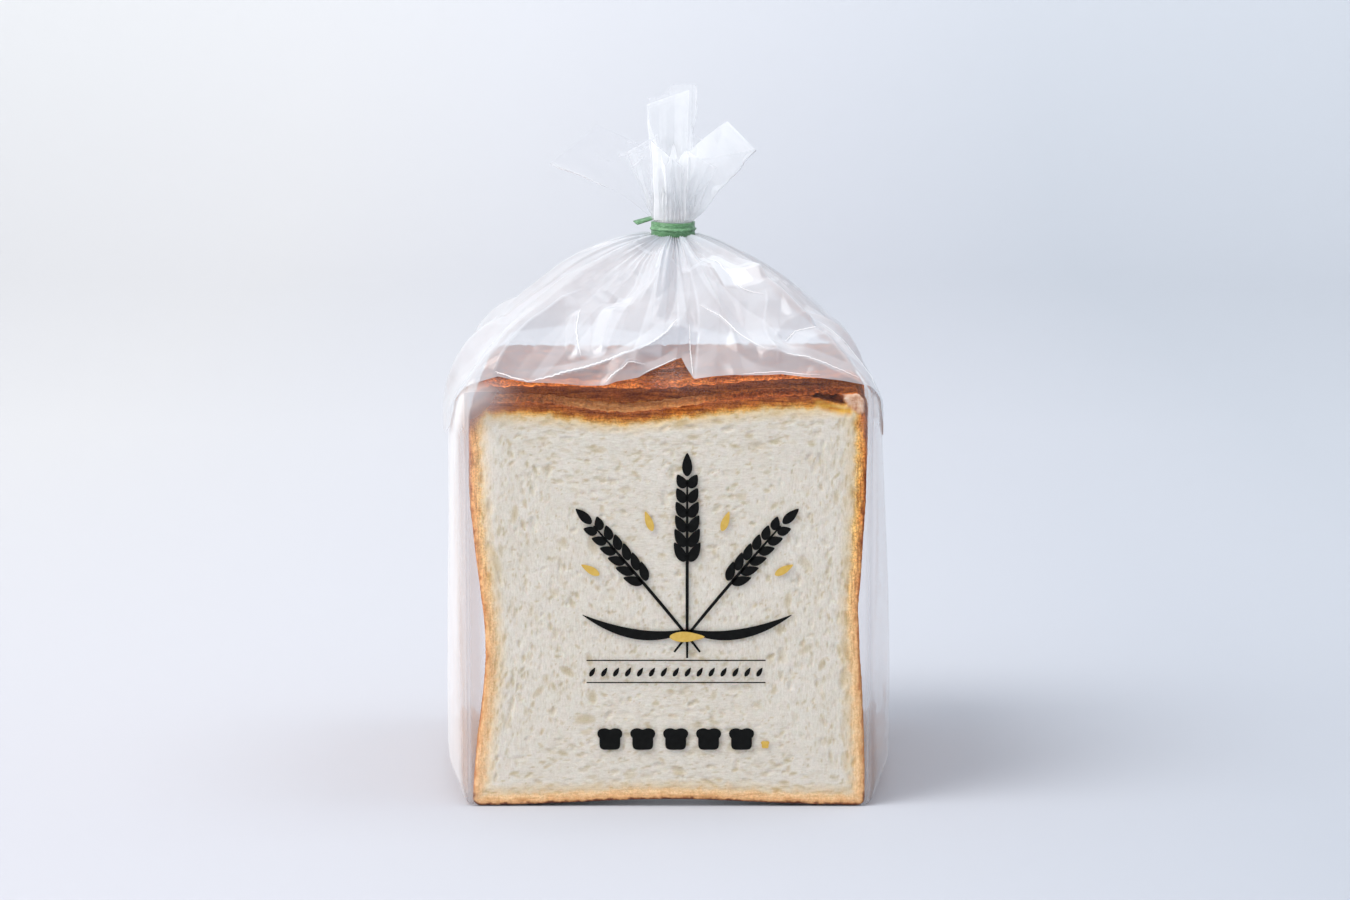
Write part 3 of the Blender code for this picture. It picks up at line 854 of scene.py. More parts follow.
# Film: what it doesn't let through it scatters as a milky white, and its face mirrors the room
def film_finish(name, white_tone, glow_share):
    """Thin film: clear by its milkiness, then white from both sides, with a mirror on top at flat angles."""
    finish, add = new_finish(name)
    spot = add("TexCoord").outputs["Object"]
    milk = marked(add, "milk")
    veil = speckle(add, spot, 90.0, 5.0, 0.5, (1.0, 1.0, 0.3), 0.4)
    cloudy = reckoned(add, "MULTIPLY", milk, spread(add, veil, 0.3, 0.7, 0.92, 1.07), use_clamp=True)
    relief = bumped(add, speckle(add, spot, 160.0, 3.0, distortion=0.8), 0.05, 0.0012)
    facing = add("LayerWeight", {"Normal": relief}, Blend=0.5).outputs["Facing"]
    # At a flat angle the light goes through more film: its clear share to the power 1 / cosine
    thicker = reckoned(add, "DIVIDE", 1.0, spread(add, facing, 0.0, 1.0, 1.0, 0.09))
    clear_share = reckoned(add, "POWER", spread(add, cloudy, 0.0, 1.0, 1.0, 0.0), thicker)
    haze = spread(add, clear_share, 0.0, 1.0, 1.0, 0.0)
    steep = reckoned(add, "POWER", facing, 4.0)
    least = reckoned(add, "MULTIPLY_ADD", milk, 0.03, 0.01)
    mirrored = add("MapRange", {"Value": steep, "To Min": least})
    mirrored.inputs["To Max"].default_value = 0.6
    through = add("BsdfTransparent", Color=(0.985, 0.985, 0.988, 1))
    lit = add("BsdfDiffuse", {"Normal": relief}, Color=white_tone)
    glowing = add("BsdfTranslucent", {"Normal": relief}, Color=white_tone)
    white = add("MixShader", {1: lit.outputs[0], 2: glowing.outputs[0]})
    white.inputs[0].default_value = glow_share
    sheet = add("MixShader", {0: haze, 1: through.outputs[0], 2: white.outputs[0]})
    gloss = add("BsdfGlossy", {"Normal": relief}, Color=(1, 1, 1, 1), Roughness=0.09)
    film = add("MixShader", {0: mirrored.outputs[0], 1: sheet.outputs[0], 2: gloss.outputs[0]})
    return surface(finish, film)


# The three finishes are lit and shaded copies of one film: clear_film's white is painted grey, painted shade,
# and gathered_film and side_film are painted near white so the mouth, crests, sides and top left patch look
# lighter: painted light
clear_film = film_finish("clear_film", (0.74, 0.775, 0.815, 1), 0.3)
gathered_film = film_finish("gathered_film", (0.985, 0.99, 0.995, 1), 0.45)
side_film = film_finish("side_film", (0.985, 0.99, 0.995, 1), 0.15)


def film_piece(name, points, faces, milk_values, finish=clear_film):
    piece = mesh_piece(name, points.reshape(-1, 3), faces, [finish], {"milk": milk_values})
    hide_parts("bread_bag")
    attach(piece, "root")
    return piece


# The shell runs from the base seal to the neck in one skin
BODY_ROWS = 56
TENT_ROWS = 84
SIDE_SLACK = 0.5
SHELL_RIPPLE = 0.00015
# Milkiness of the shell: the sheet itself, the film at its left and right sides, the left milkier so that it
# looks whiter, painted light from the key on the left, on its tent and at the neck, where it bends round the
# front corners, and where it lies on the loaf's left edge; these last two are painted highlights of the
# film's reflection
SHELL_MILK = 0.008
LEFT_SIDE_MILK = 0.22
RIGHT_SIDE_MILK = 0.06
TENT_MILK = 0.015
NECK_MILK = 0.55
CORNER_GLARE_MILK = 0.45
LEFT_EDGE_GLARE_MILK = 0.3
# Film that lies doubled on the front at the loaf's top corners: x, z, half width, half height, milkiness
DOUBLED = ((-57.5, 122.5, 8, 4.5, 0.8), (59.5, 119, 2.5, 6, 0.4))
HAZY_TO = -0.038
HAZY_HEIGHTS = (0.1135, 0.1315)
FRONT_AT = -0.05
SIDE_FROM = 0.0592
SIDE_TOP = 0.119
TENT_FROM = 0.118
CORNER_X = 0.0596
CORNER_Y = -0.0645
CORNER_TOP = 0.117
LEFT_EDGE_GLARE_X = -0.059
LEFT_EDGE_GLARE_Y = -0.0655
turns = shell_turns(120, 120, 120, 120)
levels = [0.0, 0.0005, 0.0011, BASE_SEAL]
levels += [BASE_SEAL + (SHOULDER - BASE_SEAL) * step / BODY_ROWS for step in range(1, BODY_ROWS)]
rows = [body_at(turns, level) for level in levels]
rows += [tent_at(turns, 1 - step / TENT_ROWS) for step in range(TENT_ROWS + 1)]
rows.append(as_points(NECK_X + NECK_RADIUS * np.cos(turns), NECK_RADIUS * np.sin(turns), TIE_TOP))
shell = np.array(rows)
outs = np.concatenate([np.full(len(levels), 1.0), np.linspace(1, 0, TENT_ROWS + 1), [0.0]])
outs = outs[:, None] + 0 * turns
shell_turn = turns + 0 * outs
shell, _ = creased(shell_turn, shell)
at_side = limited((abs(shell[..., 0]) - SIDE_FROM) / 0.004)
in_tent = limited((shell[..., 2] - TENT_FROM) / 0.012) * limited(outs * 2.2)
loose = np.maximum(at_side * limited(shell[..., 2] / 0.01) * SIDE_SLACK, in_tent)
shell += outward_at(shell_turn, shell) * (slack_folds(shell, SHELL_RIPPLE, 6) * loose)[..., None]
x, y, z = np.moveaxis(shell, -1, 0)
near_neck = limited(1 - outs / 0.22) * (z > 0.13)
low = z < SIDE_TOP
corner_glare = limited(1 - abs(abs(x) - CORNER_X) / 0.0012) * limited((CORNER_Y - y) / 0.001)
corner_glare = corner_glare * limited((CORNER_TOP - z) / 0.006)
left_edge_glare = limited(1 - abs(x - LEFT_EDGE_GLARE_X) / 0.0045) * (y < LEFT_EDGE_GLARE_Y) * low * 0.5
left_edge_glare = left_edge_glare * limited(0.65 + 0.5 * crumple(shell * (0, 0, 1), 30, 8, 4))
shell_milk = SHELL_MILK + np.where(x < 0, LEFT_SIDE_MILK, RIGHT_SIDE_MILK) * at_side * low
shell_milk = shell_milk + TENT_MILK * in_tent + NECK_MILK * near_neck
shell_milk = shell_milk + CORNER_GLARE_MILK * corner_glare + LEFT_EDGE_GLARE_MILK * left_edge_glare
for middle_x, middle_z, half_wide, half_high, milkiness in DOUBLED:
    away = ((x / MM - middle_x) / half_wide) ** 2 + ((z / MM - middle_z) / half_high) ** 2
    shell_milk = shell_milk + milkiness * np.exp(-away) * (y < FRONT_AT)
base = range(len(turns))
faces = [*stacked_rows(outs.shape), base[::-1]]
piece = film_piece("film_shell", shell, faces, shell_milk)
piece.data.materials.append(side_film)
piece.data.materials.append(gathered_film)
kinds = np.zeros(len(faces), np.int32)
# The doubled patch at the top left takes the whiter gathered_film and the lower sides the whiter side_film:
# painted light
hazy = (y < FRONT_AT) & (x < HAZY_TO) & (z > HAZY_HEIGHTS[0]) & (z < HAZY_HEIGHTS[1])
kinds[:-1] = np.where(hazy, 2, (at_side > 0.3) & low)[:-1].ravel()
piece.data.polygons.foreach_set("material_index", kinds)

# The folded layer: on the tent the film is doubled, down to a zigzag edge over the front of the loaf
FOLD_ROWS = 140
FOLD_FROM = 0.015
FOLD_LIFT = 0.0005
FOLD_SLACK = 0.0003
FOLD_RIPPLE = 0.00025
OVERHANG = 0.25
FOLD_MILK = 0.42
NECK_FOLD_MILK = 0.18
PATCHY_MILK = 0.15
HEM = ((-180, 1.02), (-148, 1.03), (-133, 1.0), (-128, 0.965), (-122, 0.985), (-105, 0.985), (-98, 0.955),
       (-86, 0.815), (-83, 0.935), (-71, 0.95), (-62, 0.94), (-53, 0.97), (-49, 0.985), (-32, 1.03),
       (0, 1.02), (28, 1.04), (40, 0.99), (62, 0.93), (75, 0.97), (90, 0.86), (97, 0.95), (118, 0.92),
       (133, 0.99), (152, 1.04), (180, 1.02))
# Wedges where a pleat doubles the film again: turn at the neck and at the hem, width at each, from, to, milk
WEDGES = (
    (-96, -96, 9, 7, 0.0, 0.34, 0.35), (-79, -80, 8, 5, 0.0, 0.3, 0.35), (-88, -88, 4, 3, 0, 0.26, -0.25),
    (-108, -113, 5, 10, 0.5, 0.88, 0.34), (-93, -97, 6, 9, 0.02, 0.86, 0.22),
    (-84, -86, 5, 4, 0.02, 0.7, 0.3), (-118, -121, 10, 3, 0.02, 0.98, 0.12),
    (-62, -52, 10, 12, 0.2, 0.44, 0.55), (16, 20, 5, 9, 0.02, 0.8, 0.24),
    (-74, -60, 4, 16, 0.02, 0.84, 0.14), (-36, -38, 6, 9, 0.3, 0.99, 0.2), (66, 72, 4, 9, 0.2, 0.9, 0.26),
    (-150, -148, 12, 16, 0.02, 0.95, 0.16), (-176, 184, 8, 10, 0.02, 0.9, 0.18),
    (48, 52, 6, 10, 0.02, 0.75, 0.16), (88, 92, 6, 6, 0.02, 0.8, 0.16), (112, 106, 5, 12, 0.02, 0.85, 0.24),
    (138, 136, 7, 9, 0.1, 0.98, 0.18), (160, 166, 6, 12, 0.02, 0.8, 0.22),
    (-10, -12, 10, 9, 0.02, 0.9, 0.18),
)
hem_turns, hem_outs = np.array(HEM, float).T
fold_turns = shell_turns(120, 80, 120, 240)
hem = np.interp(np.degrees(fold_turns), hem_turns, hem_outs)
part = (1 - np.linspace(0, 1, FOLD_ROWS + 1))[:, None]
fold_out = FOLD_FROM + (hem - FOLD_FROM) * part
fold_turn = fold_turns + 0 * fold_out
fold = tent_at(fold_turn, np.minimum(fold_out, 1.0))
# Past the shoulder the folded layer hangs down the side
fold[..., 2] -= limited(fold_out - 1.0) * OVERHANG
fold, crest_glint_milk = creased(fold_turn, fold)
fold_milk = FOLD_MILK + NECK_FOLD_MILK * limited(1 - fold_out / 0.6) + crest_glint_milk
fold_milk = fold_milk + PATCHY_MILK * crumple(fold * np.array(FOLDS_DRAWN), 18, 14, 5)
shift = FOLD_LIFT + (slack_folds(fold, FOLD_RIPPLE, 9) + FOLD_SLACK) * limited(fold_out * 2.2)
fold += outward_at(fold_turn, fold) * shift[..., None]
for neck_turn, hem_turn, neck_width, hem_width, first, last, milkiness in WEDGES:
    share = limited(fold_out)
    middle = np.radians(neck_turn + (hem_turn - neck_turn) * share)
    width = np.radians(neck_width + (hem_width - neck_width) * share) / 2
    inside = limited((width - abs(turned_from(fold_turn, middle))) / 0.012)
    inside = inside * limited((fold_out - first) / 0.02) * limited((last - fold_out) / 0.02)
    fold_milk = fold_milk + milkiness * inside
film_piece("film_fold", fold, stacked_rows(fold_out.shape), fold_milk)

# Along their crests the sharpest creases get a painted highlight: narrow white strips that lie on the folded
# layer
CREST_LIFT = 0.00025
CREST_STEPS = 90
CREST_GLINT_MILK = 0.9
fold_tree = search_tree(fold.reshape(-1, 3))
crest_points, crest_faces = [], []
for width, places in CREST_GLINTS:
    crest_turns, crest_outs = traced(places, CREST_STEPS)
    line, _ = creased(crest_turns, tent_at(crest_turns, crest_outs))
    near = np.array([np.mean([hit[0] for hit in fold_tree.find_n(place, 4)], axis=0) for place in line])
    way = outward_at(crest_turns, near)
    near = near + way * CREST_LIFT
    across = np.cross(np.gradient(near, axis=0), way)
    across /= np.linalg.norm(across, axis=1, keepdims=True)
    to_end = np.minimum(np.arange(CREST_STEPS), CREST_STEPS - 1 - np.arange(CREST_STEPS))
    taper = np.sqrt(np.clip(to_end / 20, 0.02, 1))
    half_width = (width / 2 * taper * (0.75 + 0.5 * abs(crumple(near, 120, 31, 4))))[:, None]
    start = len(crest_points) * 2 * CREST_STEPS
    crest_points.append(np.stack([near - across * half_width, near + across * half_width], 1).reshape(-1, 3))
    crest_faces += [(a, a + 1, a + 3, a + 2) for a in range(start, start + 2 * (CREST_STEPS - 1), 2)]
crest_points = np.concatenate(crest_points)
film_piece("film_crest_glints", crest_points, crest_faces, np.full(len(crest_points), CREST_GLINT_MILK), gathered_film)

# The mouth above the tie: an upright panel at the back, a flap at each side and a short one in front. One
# sheet goes all the way round; more of it is tucked inside
# Flaps: turn, half angle, how far they stand out, height at the fold and at the sheet, curl, and milkiness
FLAPS = ((-8, 26, 0.0225, 0.022, 0.031, 1.0, 0.55), (188, 28, 0.0345, 0.0185, 0.03, 1.35, 0.1),
         (256, 36, 0.006, 0.018, 0.0245, 0.8, 0.55), (312, 17, 0.004, 0.02, 0.022, 0.8, 0.55))
MOUTH_CORE = 0.0036
VALLEY_RISE = 0.019
SHEET_AT = 0.36
PANEL_SET_BACK = 0.0052
PANEL_RISE = 0.042
PANEL_SLOPE = 0.004
PANEL_FROM = math.radians(36)
PANEL_TO = math.radians(146)
PANEL_EDGE = math.radians(9)
PANEL_MILK = 0.45
VALLEY_MILK = 0.5
MOUTH_GATHERS = 0.0016
SMALL_GATHERS = 0.0005
BROAD_RUCKS = 0.0017
SMALL_RUCKS = 0.0006
MOUTH_ROWS = 64
# The right flap is whiter above its crease (x and z it passes, and how it climbs), the panel by its fold
FLAP_FROM = 0.0085
FLAP_CREASE = (0.0096, 0.1893, 0.17)
FLAP_WHITER = 0.16
PANEL_FOLD = (0.0036, 0.0034)
PANEL_AT = 0.002
PANEL_WHITER = 0.12
# Painted highlights along thin creases on the mouth: the two ends (x, z) in millimetres, width, and strength
MOUTH_GLINTS = (
    ((9.6, 189.4), (16.4, 190.4), 0.35, 0.7), ((16.4, 190.4), (24.2, 192.3), 0.35, 0.6),
    ((9.8, 189.3), (17.6, 200.4), 0.35, 0.7), ((-15.7, 190.4), (-9.8, 191.8), 0.4, 0.6),
    ((-13.6, 194.4), (-9.4, 194.6), 0.4, 0.5), ((-11.4, 187.0), (-7.4, 190.4), 0.7, 0.55),
    ((-25.0, 192.5), (-16.5, 187.5), 0.3, 0.25), ((-30.0, 186.5), (-20.0, 181.5), 0.3, 0.22),
    ((-7.2, 196.0), (-7.2, 206.5), 0.5, 0.5), ((0.3, 193.5), (0.1, 209.5), 0.3, 0.55),
    ((-7.3, 206.6), (-0.3, 209.9), 0.6, 0.5))
mouth_turns = turned_from(np.linspace(0, math.tau, 720, endpoint=False), 0)
up = np.linspace(0, 1, MOUTH_ROWS + 1)[:, None]
core = NECK_RADIUS + (MOUTH_CORE - NECK_RADIUS) * up
reach = core + 0 * mouth_turns
rise = VALLEY_RISE + 0 * mouth_turns
mouth_milk = VALLEY_MILK + 0 * mouth_turns
for centre, half_angle, flap_reach, fold_rise, sheet_rise, curl, milkiness in FLAPS:
    away = abs(turned_from(mouth_turns, math.radians(centre))) / math.radians(half_angle)
    inside = away < 1
    reach = np.where(inside, core + flap_reach * limited(1 - away) ** 1.2 * up**curl, reach)
    by_fold = fold_rise + (sheet_rise - fold_rise) * away / SHEET_AT
    by_valley = sheet_rise + (VALLEY_RISE - sheet_rise) * (away - SHEET_AT) / (1 - SHEET_AT)
    rise = np.where(inside, np.where(away < SHEET_AT, by_fold, by_valley), rise)
    mouth_milk = np.where(inside, milkiness, mouth_milk)
inward_turn = np.minimum(mouth_turns - PANEL_FROM, PANEL_TO - mouth_turns)
share = np.where(inward_turn > -PANEL_EDGE, np.minimum(1, 1 + inward_turn / PANEL_EDGE), 0)
set_back = PANEL_SET_BACK / np.where(share > 0, np.sin(mouth_turns), 1)
reach = reach + (set_back - core) * share * up**0.5
slope = PANEL_SLOPE * limited(-np.cos(mouth_turns) * 1.5)
rise = rise + (PANEL_RISE - slope - VALLEY_RISE) * share
mouth_milk = np.where(share > 0.5, PANEL_MILK, mouth_milk)
gathers = triangle_wave(6.0 * mouth_turns + 0.5 * np.sin(2 * mouth_turns)) * MOUTH_GATHERS
gathers = gathers + triangle_wave(15.0 * mouth_turns) * SMALL_GATHERS
reach = reach + gathers * limited(1 - 1.4 * up) * limited(up * 8)
mouth = np.stack([NECK_X + reach * np.cos(mouth_turns), reach * np.sin(mouth_turns), TIE_TOP + rise * up], -1)


def sheet_normals(grid, looped):
    """The way out of a sheet at each point of its grid."""
    if looped:
        around = np.roll(grid, -1, 1) - np.roll(grid, 1, 1)
    else:
        around = np.gradient(grid, axis=1)
    away = np.cross(around, np.gradient(grid, axis=0))
    return away / np.maximum(np.linalg.norm(away, axis=-1, keepdims=True), 1e-9)


def rucked(grid, seed, looped, strength=1.0):
    """The sheet with its creases pressed in: a few broad ones and some small ones across them."""
    ruck = BROAD_RUCKS * crumple(grid, 42, seed, 4) + SMALL_RUCKS * crumple(grid, 130, seed + 1, 6)
    return grid + sheet_normals(grid, looped) * (strength * ruck)[..., None]


def lined(milkiness, grid, lines):
    """The milkiness with painted highlights along thin creases over it; each has two (x, z) ends, a width and
    a strength.
    """
    for start, end, width, strength in lines:
        ends = np.array([(start[0], 0, start[1]), (end[0], 0, end[1])]) * MM
        flat_grid = grid.reshape(-1, 3) * (1, 0, 1)
        gap, along = distance_to_line(flat_grid, ends)
        bright = limited(1 - gap / (width * MM)) * limited(8 * np.minimum(along, 1 - along))
        milkiness = np.maximum(milkiness, strength * bright.reshape(milkiness.shape))
    return milkiness


mouth = mouth + (rucked(mouth, 21, True) - mouth) * limited(2.5 * up)[..., None]
mouth_milk = 0.92 * mouth_milk * (1 + 0.3 * limited(1 - 3 * up))
x, y, z = np.moveaxis(mouth, -1, 0)
above_crease = z > FLAP_CREASE[1] + FLAP_CREASE[2] * (x - FLAP_CREASE[0])
mouth_milk = mouth_milk + FLAP_WHITER * ((x > FLAP_FROM) & above_crease)
mouth_milk = mouth_milk + PANEL_WHITER * ((abs(x - PANEL_FOLD[0]) < PANEL_FOLD[1]) & (y > PANEL_AT))
mouth_milk = lined(mouth_milk, mouth, MOUTH_GLINTS)
film_piece("film_mouth", mouth, stacked_rows(reach.shape), mouth_milk, gathered_film)

# Tucked sheets: corners at the neck (left, right) and at the free edge (right, left), bow, and milkiness
TUCKED = (
    ((-4.6, -4.6, 170.6), (4.4, -4.4, 170.6), (3.8, -6.6, 187.4), (-5.6, -6.2, 195.0), 0.0016, 0.5),
    ((-4.8, 2.6, 171.0), (5.0, 2.8, 171.0), (6.3, 3.0, 210.4), (-6.9, 3.4, 205.8), -0.0014, 0.4),
    ((1.6, -3.6, 170.8), (5.6, -1.2, 170.8), (15.0, -4.6, 186.5), (5.6, -4.4, 192.0), 0.0012, 0.4),
    ((-5.2, 0.2, 170.8), (-1.2, -1.4, 170.8), (-3.4, -1.2, 197.0), (-12.5, 1.6, 191.5), 0.0014, 0.22),
    ((0.6, 4.2, 171.0), (4.8, 3.6, 171.0), (12.6, 5.0, 193.5), (3.6, 6.6, 199.5), -0.0012, 0.35),
    ((-4.6, 3.8, 171.0), (-0.4, 4.6, 171.0), (-3.0, 6.8, 194.5), (-13.5, 5.4, 189.5), -0.0012, 0.2),
)
TUCK_STEPS = 44
tuck_points, tuck_faces, tuck_milk = [], [], []
for i, (low_left, low_right, high_right, high_left, bow, milkiness) in enumerate(TUCKED):
    corners = np.array((low_left, low_right, high_right, high_left)) * MM
    s, t = np.meshgrid(np.linspace(0, 1, TUCK_STEPS), np.linspace(0, 1, TUCK_STEPS))
    s3, t3 = s[..., None], t[..., None]
    low_edge = corners[0] * (1 - s3) + corners[1] * s3
    high_edge = corners[3] * (1 - s3) + corners[2] * s3
    grid = low_edge * (1 - t3) + high_edge * t3
    grid[..., 1] -= bow * np.sin(math.pi * s) * (0.4 + 0.6 * t)
    grid[..., 1] += 0.0011 * triangle_wave(2.6 * s + 0.3 * i) * limited(1.2 - t) * limited(4 * t)
    grid = grid + (rucked(grid, 40 + i, False, 0.7) - grid) * limited(4 * t3)
    edge = limited(1 - np.minimum(s, 1 - s) / 0.03) + limited(1 - (1 - t) / 0.03)
    tuck_points.append(grid.reshape(-1, 3))
    tuck_faces.extend(grid_faces(s.shape, i * s.size))
    tuck_milk.append((milkiness + 0.25 * limited(edge) + 0.25 * limited(1 - 3 * t)).ravel())
film_piece("film_tucks", np.concatenate(tuck_points), tuck_faces, np.concatenate(tuck_milk), gathered_film)


# The print on the front film: three wheat ears tied above two leaves, with four mustard grains round them,
# two thin rules with a row of grains between them, and a row of little bread slices. It is printed in
# near-black and mustard ink, each a thin even layer.
INK_Y = -0.06618
EMBLEM_X = 0.0055
EMBLEM_FOOT = 0.052
RULE_LEFT = -0.0244
RULE_RIGHT = 0.0288
RULE_HEIGHTS = (0.0443, 0.0376)
RULE_THICKNESS = 0.00036
# Ears: lean and length; grains are length and width on an ear of the full size
EARS_PRINTED = ((0.0, 0.05), (math.radians(-37), 0.046), (math.radians(37), 0.046))
EAR_FULL_SIZE = 0.046
EAR_GRAIN = (0.006, 0.0027)
EAR_TIP = (0.0064, 0.0027)
EAR_PAIRS = 6
ROW_GRAIN = (0.0031, 0.0013)
ROW_GRAINS = 15
LOOSE_GRAIN = (0.0062, 0.0022)
LOOSE_GRAINS_LEAN = (-60, -20, 20, 60)
LOOSE_GRAINS_OUT = 0.03
TIED_BAND = (0.0104, 0.003)
SIGNS = 5
SIGN_LEFT = -0.0175
SIGN_PITCH = 0.0098
SIGN_HEIGHT = 0.0205
SIGN_SIZE = 0.0066
DOT_HEIGHT = 0.0188
DOT_SIZE = 0.0022
GOLD_LAYER = 0.00006
GRAIN_CORNERS = 28
SIGN_CORNERS = 72
STROKE_STEPS = 32


def ink_finish(name, colour, thin):
    """Gravure ink: even colour with the faint mottle of a thin layer."""
    finish, add = new_finish(name)
    spot = add("TexCoord").outputs["Object"]
    mottle = speckle(add, spot, 700.0, 4.0)
    tone = ramp(add, mottle, (0.3, colour), (0.75, thin))
    sheen = spread(add, mottle, 0.2, 0.8, 0.32, 0.45)
    return coat(finish, add, tone, bumped(add, mottle, 0.08, 0.0002), sheen, Specular_IOR_Level=0.08)


print_dark = ink_finish("print_dark", (0.004, 0.0042, 0.004), (0.0075, 0.0078, 0.0072))
print_gold = ink_finish("print_gold", (0.6, 0.375, 0.075), (0.7, 0.47, 0.12))


def grain_shape(x, z, length, width, lean):
    """A wheat grain: rounded below, pointed above, leaning by an angle from upright."""
    shape = []
    for i in range(GRAIN_CORNERS):
        t = math.tau * i / GRAIN_CORNERS
        along = -math.cos(t)
        fat = math.sin(t) * (1 - 0.35 * along) * (1 - 0.25 * along * along)
        u, v = width / 2 * fat, length / 2 * (1 + along)
        shape.append((x + u * math.cos(lean) + v * math.sin(lean),
                      z + v * math.cos(lean) - u * math.sin(lean)))
    return shape


def stroke_shape(start, bend, end, thick_start, thick_middle, thick_end):
    """A brush stroke along one curve, thicker in its middle."""
    left, right = [], []
    for i in range(STROKE_STEPS + 1):
        t = i / STROKE_STEPS
        x, z = ((1 - t) ** 2 * a + 2 * t * (1 - t) * b + t * t * c for a, b, c in zip(start, bend, end))
        dx, dz = (2 * (1 - t) * (b - a) + 2 * t * (c - b) for a, b, c in zip(start, bend, end))
        size = math.hypot(dx, dz)
        thick = (1 - t) * thick_start + t * thick_end + 4 * t * (1 - t) * thick_middle
        left.append((x - dz / size * thick / 2, z + dx / size * thick / 2))
        right.append((x + dz / size * thick / 2, z - dx / size * thick / 2))
    return right + left[::-1]


def slice_shape(x, z, size):
    """A slice of bread as a sign: a rounded square whose top is two wider lobes with a dip between them."""
    shape = []
    for i in range(SIGN_CORNERS):
        t = math.tau * i / SIGN_CORNERS
        c, s = math.cos(t), math.sin(t)
        reach = (abs(c) ** 5 + abs(s) ** 5) ** (-1 / 5)
        u, v = reach * c, reach * s
        lobe = math.sin(math.pi * min(1, max(0, (v - 0.1) / 0.9))) ** 0.6
        dip = 0.13 * math.exp(-((u / 0.28) ** 2)) if s > 0 else 0
        shape.append((x + size / 2 * u * (0.94 + 0.2 * lobe), z + size / 2 * (v - dip)))
    return shape


def wheat_ear(foot_x, foot_z, lean, size):
    """Shapes of one ear: a curved stalk, grains in pairs up its sides, and one at the tip."""
    def at(up, side=0.0):
        bow = 0.1 * size * math.sin(lean) * (up / size) ** 2
        return (foot_x + up * math.sin(lean) + side * math.cos(lean) + bow * math.cos(lean),
                foot_z + up * math.cos(lean) - side * math.sin(lean) - bow * math.sin(lean))

    def grain(place, kind, scale, way):
        length, width = kind
        return grain_shape(*place, length * scale * size / EAR_FULL_SIZE, width * size / EAR_FULL_SIZE, way)

    shapes = [stroke_shape(at(-0.14 * size), at(0.25 * size), at(0.93 * size), 0.0006, 0.0004, 0.0005)]
    for pair in range(EAR_PAIRS):
        up = (0.44 + 0.088 * pair) * size
        for hand in (-1, 1):
            shapes.append(grain(at(up, hand * 0.0007), EAR_GRAIN, 1 - 0.06 * pair, lean * 1.2 + hand * 0.5))
    shapes.append(grain(at(0.95 * size), EAR_TIP, 1.0, lean * 1.25))
    return shapes


def ink_piece(name, shapes, finish, layer=0.0):
    """One ink's shapes as flat pieces just in front of the film."""
    points, faces = [], []
    for shape in shapes:
        start = len(points)
        points += [(x, INK_Y - layer, z) for x, z in shape]
        faces.append(tuple(range(start, start + len(shape))))
    piece = mesh_piece(name, points, faces, [finish])
    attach(piece, "root")


dark_shapes = []
for lean, size in EARS_PRINTED:
    dark_shapes += wheat_ear(EMBLEM_X, EMBLEM_FOOT, lean, size)
for hand in (-1, 1):
    leaf = stroke_shape((EMBLEM_X, EMBLEM_FOOT + 0.0015), (EMBLEM_X + hand * 0.014, EMBLEM_FOOT - 0.0035),
                        (EMBLEM_X + hand * 0.031, EMBLEM_FOOT + 0.006), 0.0006, 0.0026, 0.0002)
    dark_shapes.append(leaf)
for height in RULE_HEIGHTS:
    low, high = height - RULE_THICKNESS / 2, height + RULE_THICKNESS / 2
    dark_shapes.append([(RULE_LEFT, low), (RULE_RIGHT, low), (RULE_RIGHT, high), (RULE_LEFT, high)])
for i in range(ROW_GRAINS):
    x = RULE_LEFT + (i + 0.5) * (RULE_RIGHT - RULE_LEFT) / ROW_GRAINS
    dark_shapes.append(grain_shape(x - 0.0008, sum(RULE_HEIGHTS) / 2 - 0.0015, *ROW_GRAIN, 0.55))
dark_shapes += [slice_shape(SIGN_LEFT + SIGN_PITCH * i, SIGN_HEIGHT, SIGN_SIZE) for i in range(SIGNS)]
ink_piece("print_dark", dark_shapes, print_dark)

gold_shapes = []
for degrees in LOOSE_GRAINS_LEAN:
    lean = math.radians(degrees)
    x = EMBLEM_X + LOOSE_GRAINS_OUT * math.sin(lean)
    z = EMBLEM_FOOT + 0.003 + LOOSE_GRAINS_OUT * math.cos(lean)
    gold_shapes.append(grain_shape(x, z, *LOOSE_GRAIN, lean))
gold_shapes.append(grain_shape(EMBLEM_X - 0.0052, EMBLEM_FOOT - 0.0006, *TIED_BAND, math.pi / 2))
gold_shapes.append(slice_shape(SIGN_LEFT + SIGN_PITCH * 4.72, DOT_HEIGHT, DOT_SIZE))
ink_piece("print_gold", gold_shapes, print_gold, GOLD_LAYER)


# The twist tie: a strip of green paper over a soft wire, wound once round the gathered neck. Its two ends are
# twisted together behind, and one of them sticks out to the left.
TIE_GAP = 0.0003
TIE_THICKNESS = 0.0005
TIE_RIB = 0.0005
TIE_ROUNDED = 0.00015
TIE_MARGIN = 0.00008
TIE_SWAY = 0.00016
TIE_FLUTTER = 0.0001
TIE_STEPS = 200
# Half widths and thicknesses of the strip where it is twisted, and of its two loose ends
TWISTED = (0.0021, 0.0003)
LOOSE_END = (0.0019, 0.00014)
TWIST_STEPS = 60
END_STEPS = 16

tie_paper, add = new_finish("tie_paper")
spot = add("TexCoord").outputs["Object"]
fibre = speckle(add, spot, 900.0, 5.0, 0.7, (1.0, 1.0, 4.0))
paper_mottle = speckle(add, spot, 260.0, 3.0)
green = ramp(add, fibre, (0.28, (0.045, 0.15, 0.05)), (0.5, (0.095, 0.25, 0.1)),
             (0.75, (0.3, 0.52, 0.31)))
